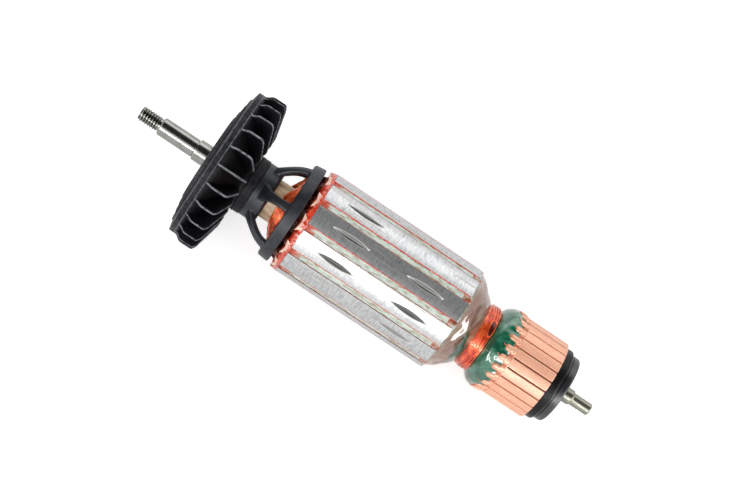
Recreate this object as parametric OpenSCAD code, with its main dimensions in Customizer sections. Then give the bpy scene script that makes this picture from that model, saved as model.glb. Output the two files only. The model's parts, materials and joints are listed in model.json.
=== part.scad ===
// Wound armature of a small commutator motor, lying as it comes to rest: on two
// fan blade tips and the far edge of the core. Every piece is first drawn about
// the shaft axis: z runs along the shaft from the fan to the commutator with
// z = 0 at the core's fan-side face, and local +x points down once it is at rest.

/* [Shaft] */
// Outside diameter of the thread at the drive end
thread_d = 5; // [4:0.25:5.5]
// Length of the thread
thread_len = 6.6; // [5:0.2:12]
// Diameter of the thread run-out groove
relief_d = 4.2; // [3:0.1:4.4]
// Width of the thread run-out groove
relief_len = 0.6; // [0.4:0.1:1.5]
// Diameter of the pinion and bearing seat
seat_d = 6; // [5.6:0.1:6.4]
// Length of the pinion and bearing seat
seat_len = 12.6; // [8:0.2:20]
// Diameter of the narrow neck behind the seat
neck_d = 5.6; // [5:0.1:5.9]
// Width of the narrow neck behind the seat
neck_len = 0.4; // [0.3:0.1:1]
// Diameter of the shoulder in front of the fan
shoulder_d = 7; // [6.5:0.1:7.5]
// Length of the shoulder in front of the fan
shoulder_len = 4.3; // [2:0.1:10]
// Diameter of the seat inside the fan
fan_seat_d = 8; // [7.6:0.1:8.6]
// Diameter of the shaft inside the core and the commutator
main_d = 9; // [8.7:0.1:10]
// Diameter of the rear shoulder
rear_d = 5; // [4.5:0.1:6]
// Length of the rear shoulder outside the end ring
rear_len = 3.9; // [2:0.1:8]
// Length of the cone between rear shoulder and journal
cone_len = 0.7; // [0.4:0.1:1.5]
// Diameter of the rear journal
journal_d = 4; // [3:0.1:4.4]
// Length of the rear journal
journal_len = 6.5; // [4:0.1:12]
// Chamfer on both ends of the shaft
shaft_chamfer = 0.45; // [0.2:0.05:0.8]

/* [Fan] */
// Diameter over the blade tips
fan_d = 53; // [48:0.5:64]
// How far the back plate's rim lies inside the blade tips
rim_inset = 1.4; // [0.8:0.1:3]
// Diameter of the flat front face inside the steps
fan_face_d = 29.2; // [20:0.2:36]
// Length of the fan from its front face to the rear ends of the blades
fan_len = 14.3; // [12:0.1:18]
// Thickness of the back plate at its rim
rim_w = 1.8; // [1.2:0.1:2.6]
// How far the rim lies behind the front face
rim_set_back = 2.3; // [1.8:0.1:3.5]
// Diameter of the hub behind the blades
fan_hub_d = 18.8; // [16:0.2:22]
// Length of the plain hub behind the blades
fan_neck_len = 2.8; // [1.5:0.1:6]
// Number of blades
blades = 24; // [12:1:30]
// Thickness of a blade
blade_t = 0.8; // [0.6:0.1:1.4]
// Length of a blade's full-diameter edge
blade_flat = 4.6; // [3:0.1:6]
// Length of a blade's sloping rear edge
blade_slope = 3.1; // [2:0.1:4]
// Radius at which a blade's rear end stops
blade_root_r = 15.5; // [13:0.5:18]

/* [Winding guard] */
// Diameter of the guard's hub
guard_hub_d = 18.4; // [16:0.2:20]
// Length of the guard's hub
guard_hub_len = 5.5; // [4:0.1:8]
// How far the guard's ring lies inside the core's surface
guard_ring_inset = 0.8; // [0.4:0.1:2]
// Width of the guard's ring
guard_ring_w = 3.9; // [2.5:0.1:5]
// Radial thickness of the guard's ring
guard_ring_t = 2.2; // [1.4:0.1:2.4]
// Number of legs
guard_legs = 6; // [3:1:8]
// Width of a leg
guard_leg_w = 2.8; // [2:0.1:4]
// Radial thickness of a leg
guard_leg_t = 1.9; // [1.2:0.1:2.2]
// Gap between the guard's ring and the core
guard_gap = 3.5; // [3.2:0.1:6]
// Angle of the first leg from the underside
guard_phase = 20.1; // [0:0.1:59]

/* [Core] */
// Outside diameter of the core
core_d = 35; // [34.4:0.2:42]
// Length of the lamination stack
core_len = 53.5; // [30:0.5:80]
// Width of a slot's opening
slot_opening = 2.2; // [1.6:0.1:3]
// Width of a tooth
tooth_w = 2.8; // [2.2:0.1:3.2]
// Thickness of a tooth's tip
tip_t = 1.3; // [1:0.1:1.8]
// Radius of the bottom of the slots
slot_bottom_r = 9.5; // [9.2:0.1:10]
// Angle of the first tooth from the underside
core_phase = 11.1; // [0:0.1:29]
// Thickness of the insulating plate on each end of the core
end_plate_t = 1; // [0.6:0.1:1.5]
// How far the insulating plates' edge lies inside the core's surface
end_plate_inset = 0.8; // [0.4:0.1:1.2]
// Length of a balancing cut
cut_len = 13.4; // [8:0.2:18]
// Width of a balancing cut
cut_w = 1.8; // [1:0.1:2.4]
// Depth of a balancing cut
cut_depth = 0.85; // [0.4:0.05:1]
// Distance of the balancing cuts from the two ends of the core
cut_inset = 13.5; // [9:0.5:14.5]

/* [Slot parts] */
// Thickness of the slot liners
liner_t = 0.3; // [0.2:0.05:0.4]
// How far a liner stands out of the end plate at the fan end
cuff_front = 1.7; // [1:0.1:1.9]
// How far a liner stands out of the end plate at the commutator end
cuff_rear = 1; // [0.5:0.1:1.2]
// Thickness of a slot wedge under the tooth tips
wedge_t = 0.9; // [0.6:0.1:1.1]
// How far a wedge lies below the core's surface
wedge_recess = 0.25; // [0.1:0.05:0.6]
// How far a wedge stops short of each end of the core
wedge_short = 0.6; // [0:0.1:3]

/* [Winding] */
// Length of the insulating sleeve from the guard's hub to the core
sleeve_len = 13.5; // [12.5:0.1:16]
// Outside diameter of the insulating sleeve and of the commutator's nose
sleeve_d = 13.2; // [12:0.1:13.4]
// Length of the winding head at the fan end, from the core
head_front = 10.2; // [9:0.1:10.6]
// Length of the winding head at the commutator end, from the core
head_rear = 6.7; // [6:0.1:7]
// Length of the resin cap over the rear winding head
cap_len = 7.4; // [7.2:0.1:9]
// Thickness of the resin cap
cap_t = 0.5; // [0.3:0.1:0.5]
// Diameter of the waist where the leads are bound
waist_d = 19.8; // [18.6:0.2:21]
// Length of the binding on the waist
band_len = 3.7; // [2.5:0.1:6]

/* [Commutator] */
// Diameter of the commutator's brush track
comm_d = 26.8; // [25:0.2:30]
// Length of the brush track
track_len = 14; // [8:0.1:20]
// Length of the bars' hooked ends
hook_len = 4.5; // [3.5:0.1:6]
// Height of a hook above the brush track
hook_rise = 0.6; // [0.3:0.1:1]
// Number of bars
bars = 24; // [18:1:30]
// Width of the slit between two bars
slit_w = 0.55; // [0.3:0.05:0.8]
// Depth of the slit down to the moulding
slit_depth = 1; // [0.5:0.1:1.5]
// Thickness of a bar
bar_t = 4; // [2.5:0.1:4.5]
// Angle of the first slit from the underside
slit_phase = 4.7; // [0:0.1:14.9]
// Distance from the binding to the hooks, filled with resin
collar_len = 4.4; // [3:0.1:6]

/* [End ring] */
// How far the end ring's flange lies below the brush track
ring_inset = 1.1; // [0.6:0.1:2]
// Width of the flange
ring_w = 2.9; // [2:0.1:4]
// How far the end ring's nose lies below its flange
nose_inset = 1; // [0.6:0.1:2]
// Length of the nose
nose_len = 3; // [2.4:0.1:5]
// Radius on the nose's edge
nose_round = 1.4; // [0.8:0.1:2]

/* [Hidden] */
slots = 12;
pairs = slots / 2;
slot_pitch = 360 / slots;
coil_span = 5; // in slots
bar_pitch = 360 / bars;
fine = 96;
eps = 0.01;

function two(i) = str(i < 10 ? "0" : "", i);

// Radii
core_r = core_d / 2;
comm_r = comm_d / 2;
fan_r = fan_d / 2;
rim_r = fan_r - rim_inset;
main_r = main_d / 2;
sleeve_r = sleeve_d / 2;
end_plate_r = core_r - end_plate_inset;
guard_ring_r = core_r - guard_ring_inset;
guard_hub_r = guard_hub_d / 2;
ring_r = comm_r - ring_inset;
nose_r = ring_r - nose_inset;
hook_r = comm_r + hook_rise;
slot_top_r = core_r - tip_t;
wedge_r = slot_top_r - wedge_t;

// Stations along the shaft, from the core towards the fan
guard_ring_z1 = -guard_gap;
guard_ring_z0 = guard_ring_z1 - guard_ring_w;
guard_hub_z1 = -sleeve_len;
guard_hub_z0 = guard_hub_z1 - guard_hub_len;
blade_end_z = guard_hub_z0 - fan_neck_len;
fan_face_z = blade_end_z - fan_len;
neck_z = fan_face_z - shoulder_len;
seat_z1 = neck_z - neck_len;
seat_z0 = seat_z1 - seat_len;
thread_z1 = seat_z0 - relief_len;
tip_z = thread_z1 - thread_len;

// Stations from the core towards the commutator
cap_z0 = core_len + end_plate_t;
band_z0 = cap_z0 + cap_len;
collar_z0 = band_z0 + band_len;
hook_z = collar_z0 + collar_len;
track_z0 = hook_z + hook_len;
track_z1 = track_z0 + track_len;
ring_z1 = track_z1 + ring_w;
nose_z = ring_z1 + nose_len;
bore_step_z = track_z1 + ring_w / 2;
cone_z = nose_z + rear_len;
journal_z = cone_z + cone_len;
end_z = journal_z + journal_len;

// Ends of a blade's full-diameter edge
blade_flat_z1 = blade_end_z - blade_slope;
blade_flat_z0 = blade_flat_z1 - blade_flat;
blade_phase = 180 / blades;

// Rest: the two lowest blade tips and the lowest edge further along touch z = 0
tip_contact_z = blade_flat_z1;
tip_contact_r = fan_r * cos(blade_phase - asin(blade_t / 2 / fan_r));
function lean(z, r) = (tip_contact_r - r) / (z - tip_contact_z);
rest_tilt = atan(min(lean(core_len, core_r), lean(track_z1, comm_r), lean(ring_z1, ring_r),
                     lean(hook_z, hook_r), lean(end_z, journal_d / 2)));
rest_lift = tip_contact_z * sin(rest_tilt) + tip_contact_r * cos(rest_tilt);
x_low = tip_z * cos(rest_tilt) - (thread_d / 2 - shaft_chamfer) * sin(rest_tilt);
x_high = end_z * cos(rest_tilt) + (journal_d / 2 - shaft_chamfer) * sin(rest_tilt);

// Outer radius of the rear resin cap at a share u of its length
cap_wide_r = end_plate_r - 0.1;
function cap_r(u) = cap_wide_r - (cap_wide_r - waist_d / 2) * (0.63 * u + 0.37 * u * u);
function cap_inside(z) = cap_r((z - cap_z0) / cap_len) - cap_t;

// Radii of a guard leg's outer and inner faces, on quarter sine curves that start
// inside the hub and end inside the ring
hub_sink = 0.3;
hub_plain_len = 1.6;
ring_sink = 0.6;
ring_lip = 0.9;
leg_z0 = guard_hub_z0 + hub_plain_len;
leg_in_z0 = leg_z0 + guard_leg_t + 0.7;
leg_z1 = guard_ring_z0 + ring_sink;
leg_r0 = guard_hub_r - hub_sink;
leg_in_r0 = leg_r0 - 0.4;
leg_r1 = guard_ring_r - ring_lip;
function leg_outer(z) = leg_r0 + (leg_r1 - leg_r0) * sin(90 * (z - leg_z0) / (leg_z1 - leg_z0));
function leg_inner(z) = leg_in_r0
    + (leg_r1 - guard_leg_t - leg_in_r0) * sin(90 * (z - leg_in_z0) / (leg_z1 - leg_in_z0));

// Winding: the two layers in a slot, the feet where they leave it, and the risers
// that lead each side out to its own level. Lower sides turn to one side of the
// slot's middle and upper sides to the other.
wire_gap = 0.2;
lap = 0.1; // how far the parts of one coil reach into each other
foot_len = 0.7;
riser_t = 1.1;
side_near = 1; // angles of the risers from the slot's middle
side_far = 10;
front_z = -end_plate_t - cuff_front - lap;
rear_z = cap_z0 + cuff_rear + lap;
coil_r0 = slot_bottom_r + liner_t + 2 * wire_gap;
coil_r3 = min(wedge_r - wire_gap, cap_inside(rear_z + foot_len) - wire_gap);
coil_r1 = (coil_r0 + coil_r3 - wire_gap) / 2;
coil_r2 = coil_r1 + wire_gap;
front_riser_r = min(coil_r1, leg_inner(-head_front) - 2 * wire_gap);
rear_riser_r = min(coil_r1, cap_inside(core_len + head_rear) - wire_gap);

// Places a piece drawn about the shaft axis as the armature lies at rest
module at_rest()
    translate([-(x_low + x_high) / 2, 0, rest_lift])
        rotate([0, 90 + rest_tilt, 0])
            children();

// Solid of revolution from [z, r] points
module turned(points)
    rotate_extrude($fn = fine) polygon([for (p = points) [p[1], p[0]]]);

// Block between two radii, two angles and two stations
module sector(r0, r1, a0, a1, z0, z1)
    rotate([0, 0, a0])
        rotate_extrude(angle = a1 - a0, $fn = fine)
            translate([r0, z0]) square([r1 - r0, z1 - z0]);

// Flat shape given as [z, r] points, made into a plate across the axis at angle a
module radial_plate(points, thickness, a)
    rotate([0, 0, a])
        rotate([90, 0, 0])
            linear_extrude(height = thickness, center = true)
                polygon([for (p = points) [p[1], p[0]]]);

module shaft() {
    c = shaft_chamfer;
    thread_r = thread_d / 2;
    journal_r = journal_d / 2;
    color("gainsboro") at_rest() turned([
        [tip_z, 0], [tip_z, thread_r - c], [tip_z + c, thread_r], [thread_z1, thread_r],
        [thread_z1, relief_d / 2], [seat_z0, relief_d / 2],
        [seat_z0, seat_d / 2 - c], [seat_z0 + c, seat_d / 2], [seat_z1, seat_d / 2],
        [seat_z1, neck_d / 2], [neck_z, neck_d / 2], [neck_z, shoulder_d / 2],
        [fan_face_z, shoulder_d / 2], [fan_face_z, fan_seat_d / 2],
        [guard_hub_z0, fan_seat_d / 2], [guard_hub_z0, main_r],
        [bore_step_z, main_r], [bore_step_z, rear_d / 2],
        [cone_z, rear_d / 2], [journal_z, journal_r],
        [end_z - c, journal_r], [end_z, journal_r - c], [end_z, 0]]);
}

// The back plate steps up from a flat face to its rim, and its rear side is a
// smooth S-shaped flare from the rim down to the hub, with radial blades on it.
module fan() {
    hub_r = fan_hub_d / 2;
    rim_z0 = fan_face_z + rim_set_back;
    rim_z1 = rim_z0 + rim_w;
    face_r = fan_face_d / 2;
    face_steps = 4;
    step_draft = 0.2;
    rim_step = 0.7; // height of the last step, at the rim
    step_z = (rim_set_back - rim_step) / face_steps;
    step_r = (rim_r - face_r) / (face_steps + 0.2);
    flare_len = blade_end_z - rim_z1;
    count = 16;
    root_depth = 0.5; // how far a blade reaches into the hub
    corner_len = 0.9;
    corner_r = 1.4;
    steps = [for (i = [0:face_steps - 1], k = [0, 1])
        [fan_face_z + (i + k) * step_z, face_r + i * step_r - (1 - k) * step_draft]];
    flare = [for (i = [0:count])
        [rim_z1 + flare_len * i / count, hub_r + (rim_r - hub_r) * (1 + cos(180 * i / count)) / 2]];
    blade = [
        [rim_z1 - 0.6, rim_r - 1.2], [rim_z1 - eps, rim_r - eps], [rim_z1 + 0.9, rim_r + 0.1],
        [blade_flat_z0, fan_r], [blade_flat_z1, fan_r],
        [blade_flat_z1 + corner_len, fan_r - corner_r],
        [blade_end_z, blade_root_r], [blade_end_z - 1.7, hub_r - root_depth]];
    color("#2b2c30") at_rest() {
        turned(concat(
            [[fan_face_z, fan_seat_d / 2]], steps, [[rim_z0, rim_r]], flare,
            [[guard_hub_z0, hub_r], [guard_hub_z0, fan_seat_d / 2]]));
        for (i = [0:blades - 1])
            radial_plate(blade, blade_t, blade_phase + i * 360 / blades);
    }
}

// Moulded cage: a hub, legs that bow outwards, and a ring around the winding head
module winding_guard() {
    ring_in = guard_ring_r - guard_ring_t;
    edge = 0.8; // bevels on the hub and on the ring
    count = 14;
    outer = [for (i = [0:count]) let (z = leg_z0 + (leg_z1 - leg_z0) * i / count) [z, leg_outer(z)]];
    inner = [for (i = [count:-1:0]) let (z = leg_in_z0 + (leg_z1 - leg_in_z0) * i / count) [z, leg_inner(z)]];
    color("#2b2c30") at_rest() {
        turned([
            [guard_hub_z0, main_r], [guard_hub_z0, guard_hub_r], [guard_hub_z1 - edge, guard_hub_r],
            [guard_hub_z1, guard_hub_r - edge], [guard_hub_z1, main_r]]);
        turned([
            [guard_ring_z0, ring_in], [guard_ring_z0, guard_ring_r - edge],
            [guard_ring_z0 + edge / 2, guard_ring_r - edge / 2],
            [guard_ring_z1 - 0.3, guard_ring_r], [guard_ring_z1, guard_ring_r - 0.3],
            [guard_ring_z1, ring_in]]);
        for (i = [0:guard_legs - 1])
            radial_plate(concat(outer, inner), guard_leg_w, guard_phase + i * 360 / guard_legs);
    }
}

module shaft_sleeve()
    color("#c8b79a") at_rest() turned([
        [guard_hub_z1, main_r], [guard_hub_z1, sleeve_r],
        [-end_plate_t, sleeve_r], [-end_plate_t, main_r]]);

// Section of the lamination: teeth on a hub, with tips that narrow each slot's mouth
module lamination(outer_r) {
    difference() {
        circle(r = outer_r, $fn = fine);
        circle(r = main_r, $fn = fine);
        difference() {
            circle(r = slot_top_r, $fn = fine);
            circle(r = slot_bottom_r, $fn = fine);
            for (i = [0:slots - 1])
                rotate(core_phase + i * slot_pitch)
                    translate([0, -tooth_w / 2]) square([core_r, tooth_w]);
        }
        for (i = [0:slots - 1])
            rotate(slot_angle(i))
                translate([slot_bottom_r + 0.5, -slot_opening / 2]) square([core_r, slot_opening]);
    }
}
function slot_angle(i) = core_phase + (i - 0.5) * slot_pitch;

// Wheel that cuts a pointed groove along tooth i, centred at station z
module balance_cut(i, z) {
    wheel_r = cut_len * cut_len / 8 / cut_depth; // from the chord and the depth it cuts
    edge = 0.1;
    rotate([0, 0, core_phase + i * slot_pitch])
        translate([core_r - cut_depth + wheel_r, 0, z])
            rotate([90, 0, 0])
                rotate_extrude($fn = 180)
                    polygon([[wheel_r - 3, -1.5 * cut_w], [wheel_r - 2 * cut_depth, -cut_w],
                             [wheel_r - edge, -2.5 * edge], [wheel_r, 0], [wheel_r - edge, 2.5 * edge],
                             [wheel_r - 2 * cut_depth, cut_w], [wheel_r - 3, 1.5 * cut_w]]);
}

module core()
    color("silver") at_rest() difference() {
        linear_extrude(height = core_len) lamination(core_r);
        for (i = [5, 6, 7]) balance_cut(i, cut_inset);
        for (i = [6, 7, 8]) balance_cut(i, core_len - cut_inset);
    }

// Both plates share one node: they are the same stamping on either end of the core
module end_plates()
    color("#d9583a") at_rest()
        for (z = [-end_plate_t, core_len])
            translate([0, 0, z]) linear_extrude(height = end_plate_t) lamination(end_plate_r);

// Space inside one slot, shrunk by c on every side
module slot_space(c)
    difference() {
        intersection() {
            circle(r = wedge_r, $fn = fine);
            polygon([[0, 0], [2 * core_r, -2 * core_r * tan(slot_pitch / 2)],
                     [2 * core_r, 2 * core_r * tan(slot_pitch / 2)]]);
        }
        circle(r = slot_bottom_r + c, $fn = fine);
        for (side = [-1, 1])
            rotate(side * slot_pitch / 2)
                translate([0, -tooth_w / 2 - c]) square([core_r, tooth_w + 2 * c]);
    }

module slot_liners()
    color("#e7a99c") at_rest()
        for (i = [0:slots - 1])
            rotate([0, 0, slot_angle(i)]) translate([0, 0, -end_plate_t - cuff_front])
                linear_extrude(height = core_len + 2 * end_plate_t + cuff_front + cuff_rear)
                    difference() {
                        slot_space(0);
                        slot_space(liner_t);
                    }

module slot_wedge(i) {
    half = slot_pitch / 2 - asin((tooth_w / 2 + 0.1) / wedge_r);
    z0 = wedge_short;
    z1 = core_len - wedge_short;
    color("#c5d0be") at_rest() rotate([0, 0, slot_angle(i)]) {
        sector(wedge_r, slot_top_r, -half, half, z0, z1);
        translate([slot_top_r - 0.4, -slot_opening / 2 + 0.05, z0])
            cube([tip_t + 0.4 - wedge_recess, slot_opening - 0.1, z1 - z0]);
    }
}

// Half the angle that a coil side may fill at radius r
function side_half(r) = slot_pitch / 2 - asin((tooth_w / 2 + liner_t + 0.1) / r);

// One side of a coil: the wires in the slot, and at each end a foot and a riser
// that reaches as far as the coil's level
module coil_side(slot, top, front_far, rear_far) {
    r0 = top ? coil_r2 : coil_r0;
    r1 = top ? coil_r3 : coil_r1;
    half = side_half(r0);
    riser_a = top ? side_near : -side_far;
    foot_a0 = top ? side_near + 0.4 : 0.5 - half;
    foot_a1 = top ? half - 0.5 : -side_near - 0.4;
    rotate([0, 0, slot_angle(slot)]) {
        sector(r0, r1, -half, half, front_z, rear_z);
        sector(r0 + 2 * lap, r1 - 2 * lap, foot_a0 + 3 * lap, foot_a1 - 3 * lap,
               front_z - foot_len / 2, rear_z + foot_len / 2);
        for (end = [[front_riser_r, front_z, -1, front_far], [rear_riser_r, rear_z, 1, rear_far]]) {
            riser_r = end[0];
            start = end[1];
            out = end[2];
            foot_end = start + out * foot_len;
            foot_start = start + out * lap / 2;
            riser_start = start + out * 1.5 * lap;
            sector(min(r0 + lap, riser_r - riser_t + 1.5 * lap), r1 - lap, foot_a0, foot_a1,
                   min(foot_start, foot_end), max(foot_start, foot_end));
            sector(riser_r - riser_t, riser_r, riser_a, riser_a + side_far - side_near,
                   min(riser_start, end[3]), max(riser_start, end[3]));
        }
    }
}

// End turn of one coil, an arc inside the risers on the coil's own level
module coil_turn(a0, a1, z0, z1, riser_r) {
    turn_r = riser_r - riser_t - wire_gap;
    low = min(z0, z1);
    high = max(z0, z1);
    sector(sleeve_r + wire_gap, turn_r, a0, a1, low, high);
    for (a = [a0, a1 - side_far + side_near])
        sector(turn_r - 5 * lap, riser_r - 4 * lap, a + 5 * lap, a + side_far - side_near - 5 * lap,
               low + lap, high - lap);
}

// One coil of the two-layer winding: pair j lies in slots j and j + 5, and its
// partner in the slots opposite. The earlier coil in a slot lies at the bottom.
module coil(i) {
    j = floor(i / 2);
    a = j + (i % 2) * pairs;
    b = a + coil_span;
    a_top = j == pairs - 1;
    b_top = j > 0;
    a0 = slot_angle(a) + (a_top ? side_near : -side_far);
    a1 = slot_angle(b) + (b_top ? side_far : -side_near);
    front_start = front_z - foot_len - wire_gap / 2;
    front_pitch = (head_front + front_start) / pairs;
    front_far = front_start - (j + 1) * front_pitch;
    rear_start = rear_z + foot_len + wire_gap / 2;
    rear_pitch = (core_len + head_rear - rear_start) / pairs;
    rear_far = rear_start + (j + 1) * rear_pitch;
    color("#d8451f") at_rest() {
        coil_side(a, a_top, front_far, rear_far);
        coil_side(b, b_top, front_far, rear_far);
        coil_turn(a0, a1, front_far + front_pitch - wire_gap / 2, front_far, front_riser_r);
        coil_turn(a0, a1, rear_far - rear_pitch + wire_gap / 2, rear_far, rear_riser_r);
    }
}

// Copper bar with its hook, centred between two slits. Only the brush track is
// turned to the full radius: the end with the hook lies a little lower.
module commutator_bar(i) {
    width = bar_pitch - 2 * asin(slit_w / 2 / comm_r);
    hook_width = 0.55 * bar_pitch;
    in_r = comm_r - bar_t;
    low_r = comm_r - 0.3;
    root_r = comm_r - 1; // foot of the hook, inside the bar
    c = 0.3;
    color("#e8a07a") at_rest() rotate([0, 0, slit_phase + (i + 0.5) * bar_pitch]) {
        rotate([0, 0, -width / 2]) rotate_extrude(angle = width, $fn = fine)
            polygon([[in_r, hook_z], [low_r, hook_z], [low_r, track_z0], [comm_r, track_z0],
                     [comm_r, track_z1 - c], [comm_r - c, track_z1], [in_r, track_z1]]);
        rotate([0, 0, -hook_width / 2]) rotate_extrude(angle = hook_width, $fn = fine)
            polygon([[root_r, hook_z], [hook_r - 0.2, hook_z], [hook_r, hook_z + 0.8],
                     [hook_r - 0.2, hook_z + 2.6], [low_r - 0.1, track_z0 - 0.4],
                     [root_r, track_z0 - 0.4]]);
    }
}

// Moulding that holds the bars: a nose towards the core, a body, and ribs that are
// as wide as the slits at the foot of the bars
module commutator_hub() {
    in_r = comm_r - bar_t;
    rib_w = slit_w * in_r / comm_r;
    color("#4a3226") at_rest() difference() {
        union() {
            translate([0, 0, cap_z0]) cylinder(r = sleeve_r, h = hook_z + 1 - cap_z0, $fn = fine);
            translate([0, 0, hook_z]) linear_extrude(height = track_z1 - hook_z) {
                circle(r = in_r, $fn = fine);
                for (i = [0:bars - 1])
                    rotate(slit_phase + i * bar_pitch)
                        translate([in_r - 0.5, -rib_w / 2]) square([bar_t + 0.5 - slit_depth, rib_w]);
            }
        }
        translate([0, 0, cap_z0 - 1]) cylinder(r = main_r, h = track_z1 + 2 - cap_z0, $fn = fine);
    }
}

// The bound leads, drawn as one ring around the nose
module lead_band()
    color("#e0502e") at_rest() turned([
        [band_z0, sleeve_r], [band_z0, waist_d / 2], [band_z0 + 0.6, waist_d / 2 + 0.3],
        [collar_z0 - 0.6, waist_d / 2 + 0.3], [collar_z0, waist_d / 2], [collar_z0, sleeve_r]]);

// Resin cap over the rear winding head, narrowing from the core to the waist
module winding_resin() {
    count = 12;
    outer = [for (i = [0:count]) [cap_z0 + cap_len * i / count, cap_r(i / count)]];
    inner = [for (i = [count:-1:0]) [cap_z0 + cap_len * i / count, cap_r(i / count) - cap_t]];
    color("#b58a72") at_rest() turned(concat(outer, inner));
}

// Resin between the binding and the hooks, swelling to the height of the hooks
module collar_resin() {
    low_r = waist_d / 2 + 0.1;
    count = 12;
    color("#2f6b4f") at_rest() turned(concat(
        [for (i = [0:count]) [collar_z0 + collar_len * i / count,
                              low_r + (hook_r - low_r) * sin(90 * i / count)]],
        [[hook_z, sleeve_r], [collar_z0, sleeve_r]]));
}

module end_ring() {
    c = 0.3;
    groove_w = 0.5;
    rounding = [for (a = [0:15:90])
        [nose_z - nose_round * (1 - sin(a)), nose_r - nose_round * (1 - cos(a))]];
    color("#1d1e21") at_rest() turned(concat(
        [[track_z1, main_r], [track_z1, ring_r - c], [track_z1 + c, ring_r],
         [ring_z1 - 0.5, ring_r], [ring_z1, ring_r - 0.5],
         [ring_z1, nose_r - c], [ring_z1 + groove_w, nose_r - c], [ring_z1 + groove_w + 0.2, nose_r]],
        rounding,
        [[nose_z, rear_d / 2], [bore_step_z, rear_d / 2], [bore_step_z, main_r]]));
}

shaft();
fan();
winding_guard();
shaft_sleeve();
core();
end_plates();
slot_liners();
for (i = [0:slots - 1])
    slot_wedge(i);
for (i = [0:slots - 1])
    coil(i);
for (i = [0:bars - 1])
    commutator_bar(i);
commutator_hub();
lead_band();
winding_resin();
collar_resin();
end_ring();
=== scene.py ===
# Wound armature of a small commutator motor: the finish of every piece and the shapes that
# are too fine for the frame. Shapes are worked out in millimetres about the shaft: x points
# down, y sideways and z along the shaft, with z = 0 at the core's fan-side face. In the settings,
# lengths are millimetres and angles degrees, but bumps and the studio are in metres; a pair of
# numbers is mostly a range, its start and its end.
import json
import math

import bpy
import numpy as np
from mathutils import Matrix, Vector


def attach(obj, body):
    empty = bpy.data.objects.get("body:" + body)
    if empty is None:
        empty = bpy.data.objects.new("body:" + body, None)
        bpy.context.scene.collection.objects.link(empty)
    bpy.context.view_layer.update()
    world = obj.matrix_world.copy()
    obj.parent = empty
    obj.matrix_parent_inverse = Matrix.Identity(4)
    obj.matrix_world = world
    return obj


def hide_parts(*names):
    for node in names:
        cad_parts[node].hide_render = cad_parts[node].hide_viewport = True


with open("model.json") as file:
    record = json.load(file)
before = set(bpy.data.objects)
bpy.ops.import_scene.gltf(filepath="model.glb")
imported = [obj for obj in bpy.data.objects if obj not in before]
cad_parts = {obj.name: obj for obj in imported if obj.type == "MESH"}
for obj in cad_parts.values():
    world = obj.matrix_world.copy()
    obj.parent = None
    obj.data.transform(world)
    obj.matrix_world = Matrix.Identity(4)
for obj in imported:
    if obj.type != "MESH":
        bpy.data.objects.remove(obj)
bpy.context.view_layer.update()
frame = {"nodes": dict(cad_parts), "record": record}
nodes = frame["nodes"]
mounts = {m["name"]: m for m in frame["record"]["mounts"]}

# the shaft's own directions, and the point on its axis at the core's fan-side face
along = np.array(mounts["brush_track"]["axis"])
side = np.array([0.0, 1.0, 0.0])
down = np.cross(side, along)


def nodePoints(name):
    mesh = nodes[name].data
    flat = np.empty(len(mesh.vertices) * 3, np.float32)
    mesh.vertices.foreach_get("co", flat)
    return flat.reshape(-1, 3).astype(float)


trackMiddle = np.array(mounts["brush_track"]["pos_m"])
axisStart = trackMiddle + along * ((nodePoints("core") - trackMiddle) @ along).min()


def shaftCoords(points):  # metres in the frame to millimetres about the shaft
    local = (points - axisStart) * 1000
    return np.stack([local @ down, local @ side, local @ along], -1)


def toWorld(points):  # millimetres about the shaft to metres in the frame
    x, y, z = points[..., :1], points[..., 1:2], points[..., 2:]
    return axisStart + (x * down + y * side + z * along) * 0.001


def stations(name):  # where a node starts and ends along the shaft
    z = shaftCoords(nodePoints(name))[:, 2]
    return z.min(), z.max()


def radii(name):  # nearest to and furthest from the axis
    p = shaftCoords(nodePoints(name))
    r = np.hypot(p[:, 0], p[:, 1])
    return r.min(), r.max()


def middleAngle(name):  # direction of a node's middle round the shaft
    p = shaftCoords(nodePoints(name)).mean(0)
    return math.atan2(p[1], p[0])


def mountEnds(name):
    z = shaftCoords(np.array(mounts[name]["pos_m"]))[2]
    half = mounts[name]["dims"]["length_mm"] / 2
    return z - half, z + half


coreZ = stations("core")
coreR = radii("core")[1]
plateZ = stations("end_plates")
barZ = stations("commutator_bar_01")
trackR = mounts["brush_track"]["dims"]["r_mm"]
trackZ = mountEnds("brush_track")
anyPhase = (0, 6.3)  # radians, where a random wave starts
slotAngles = np.array([middleAngle(f"slot_wedge_{i:02d}") for i in range(1, 13)])
barAngles = np.array([middleAngle(f"commutator_bar_{i:02d}") for i in range(1, 25)])
print("frame read")


# colours and node trees
def linear(hexColour):
    channels = [int(hexColour[i:i + 2], 16) / 255 for i in (1, 3, 5)]
    return tuple(c / 12.92 if c <= 0.04045 else ((c + 0.055) / 1.055) ** 2.4 for c in channels) + (1.0,)


def feed(node, inputs):
    # an input's value is a constant, a socket, or a node, which stands for its result: that is
    # the first output, or the third, which holds the colour, of a Mix node
    for key, value in inputs.items():
        if isinstance(value, bpy.types.Node):
            value = value.outputs[2 if value.type == "MIX" else 0]
        if isinstance(value, bpy.types.NodeSocket):
            node.id_data.links.new(value, node.inputs[key])
        else:
            node.inputs[key].default_value = value


colours = {"data_type": "RGBA"}  # what a Mix node mixes, and its two inputs for that
mixA, mixB = 6, 7


def addNode(tree, kind, settings, inputs):
    # settings may be just an operation's name; "ramp" is a list of (position, colour)
    node = tree.nodes.new("ShaderNode" + kind)
    for key, value in ({"operation": settings} if isinstance(settings, str) else settings).items():
        if key == "ramp":
            while len(node.color_ramp.elements) < len(value):
                node.color_ramp.elements.new(0.5)
            for element, (position, colour) in zip(node.color_ramp.elements, value):
                element.position = position
                element.color = linear(colour)
        else:
            setattr(node, key, value)
    feed(node, inputs)
    return node


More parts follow.
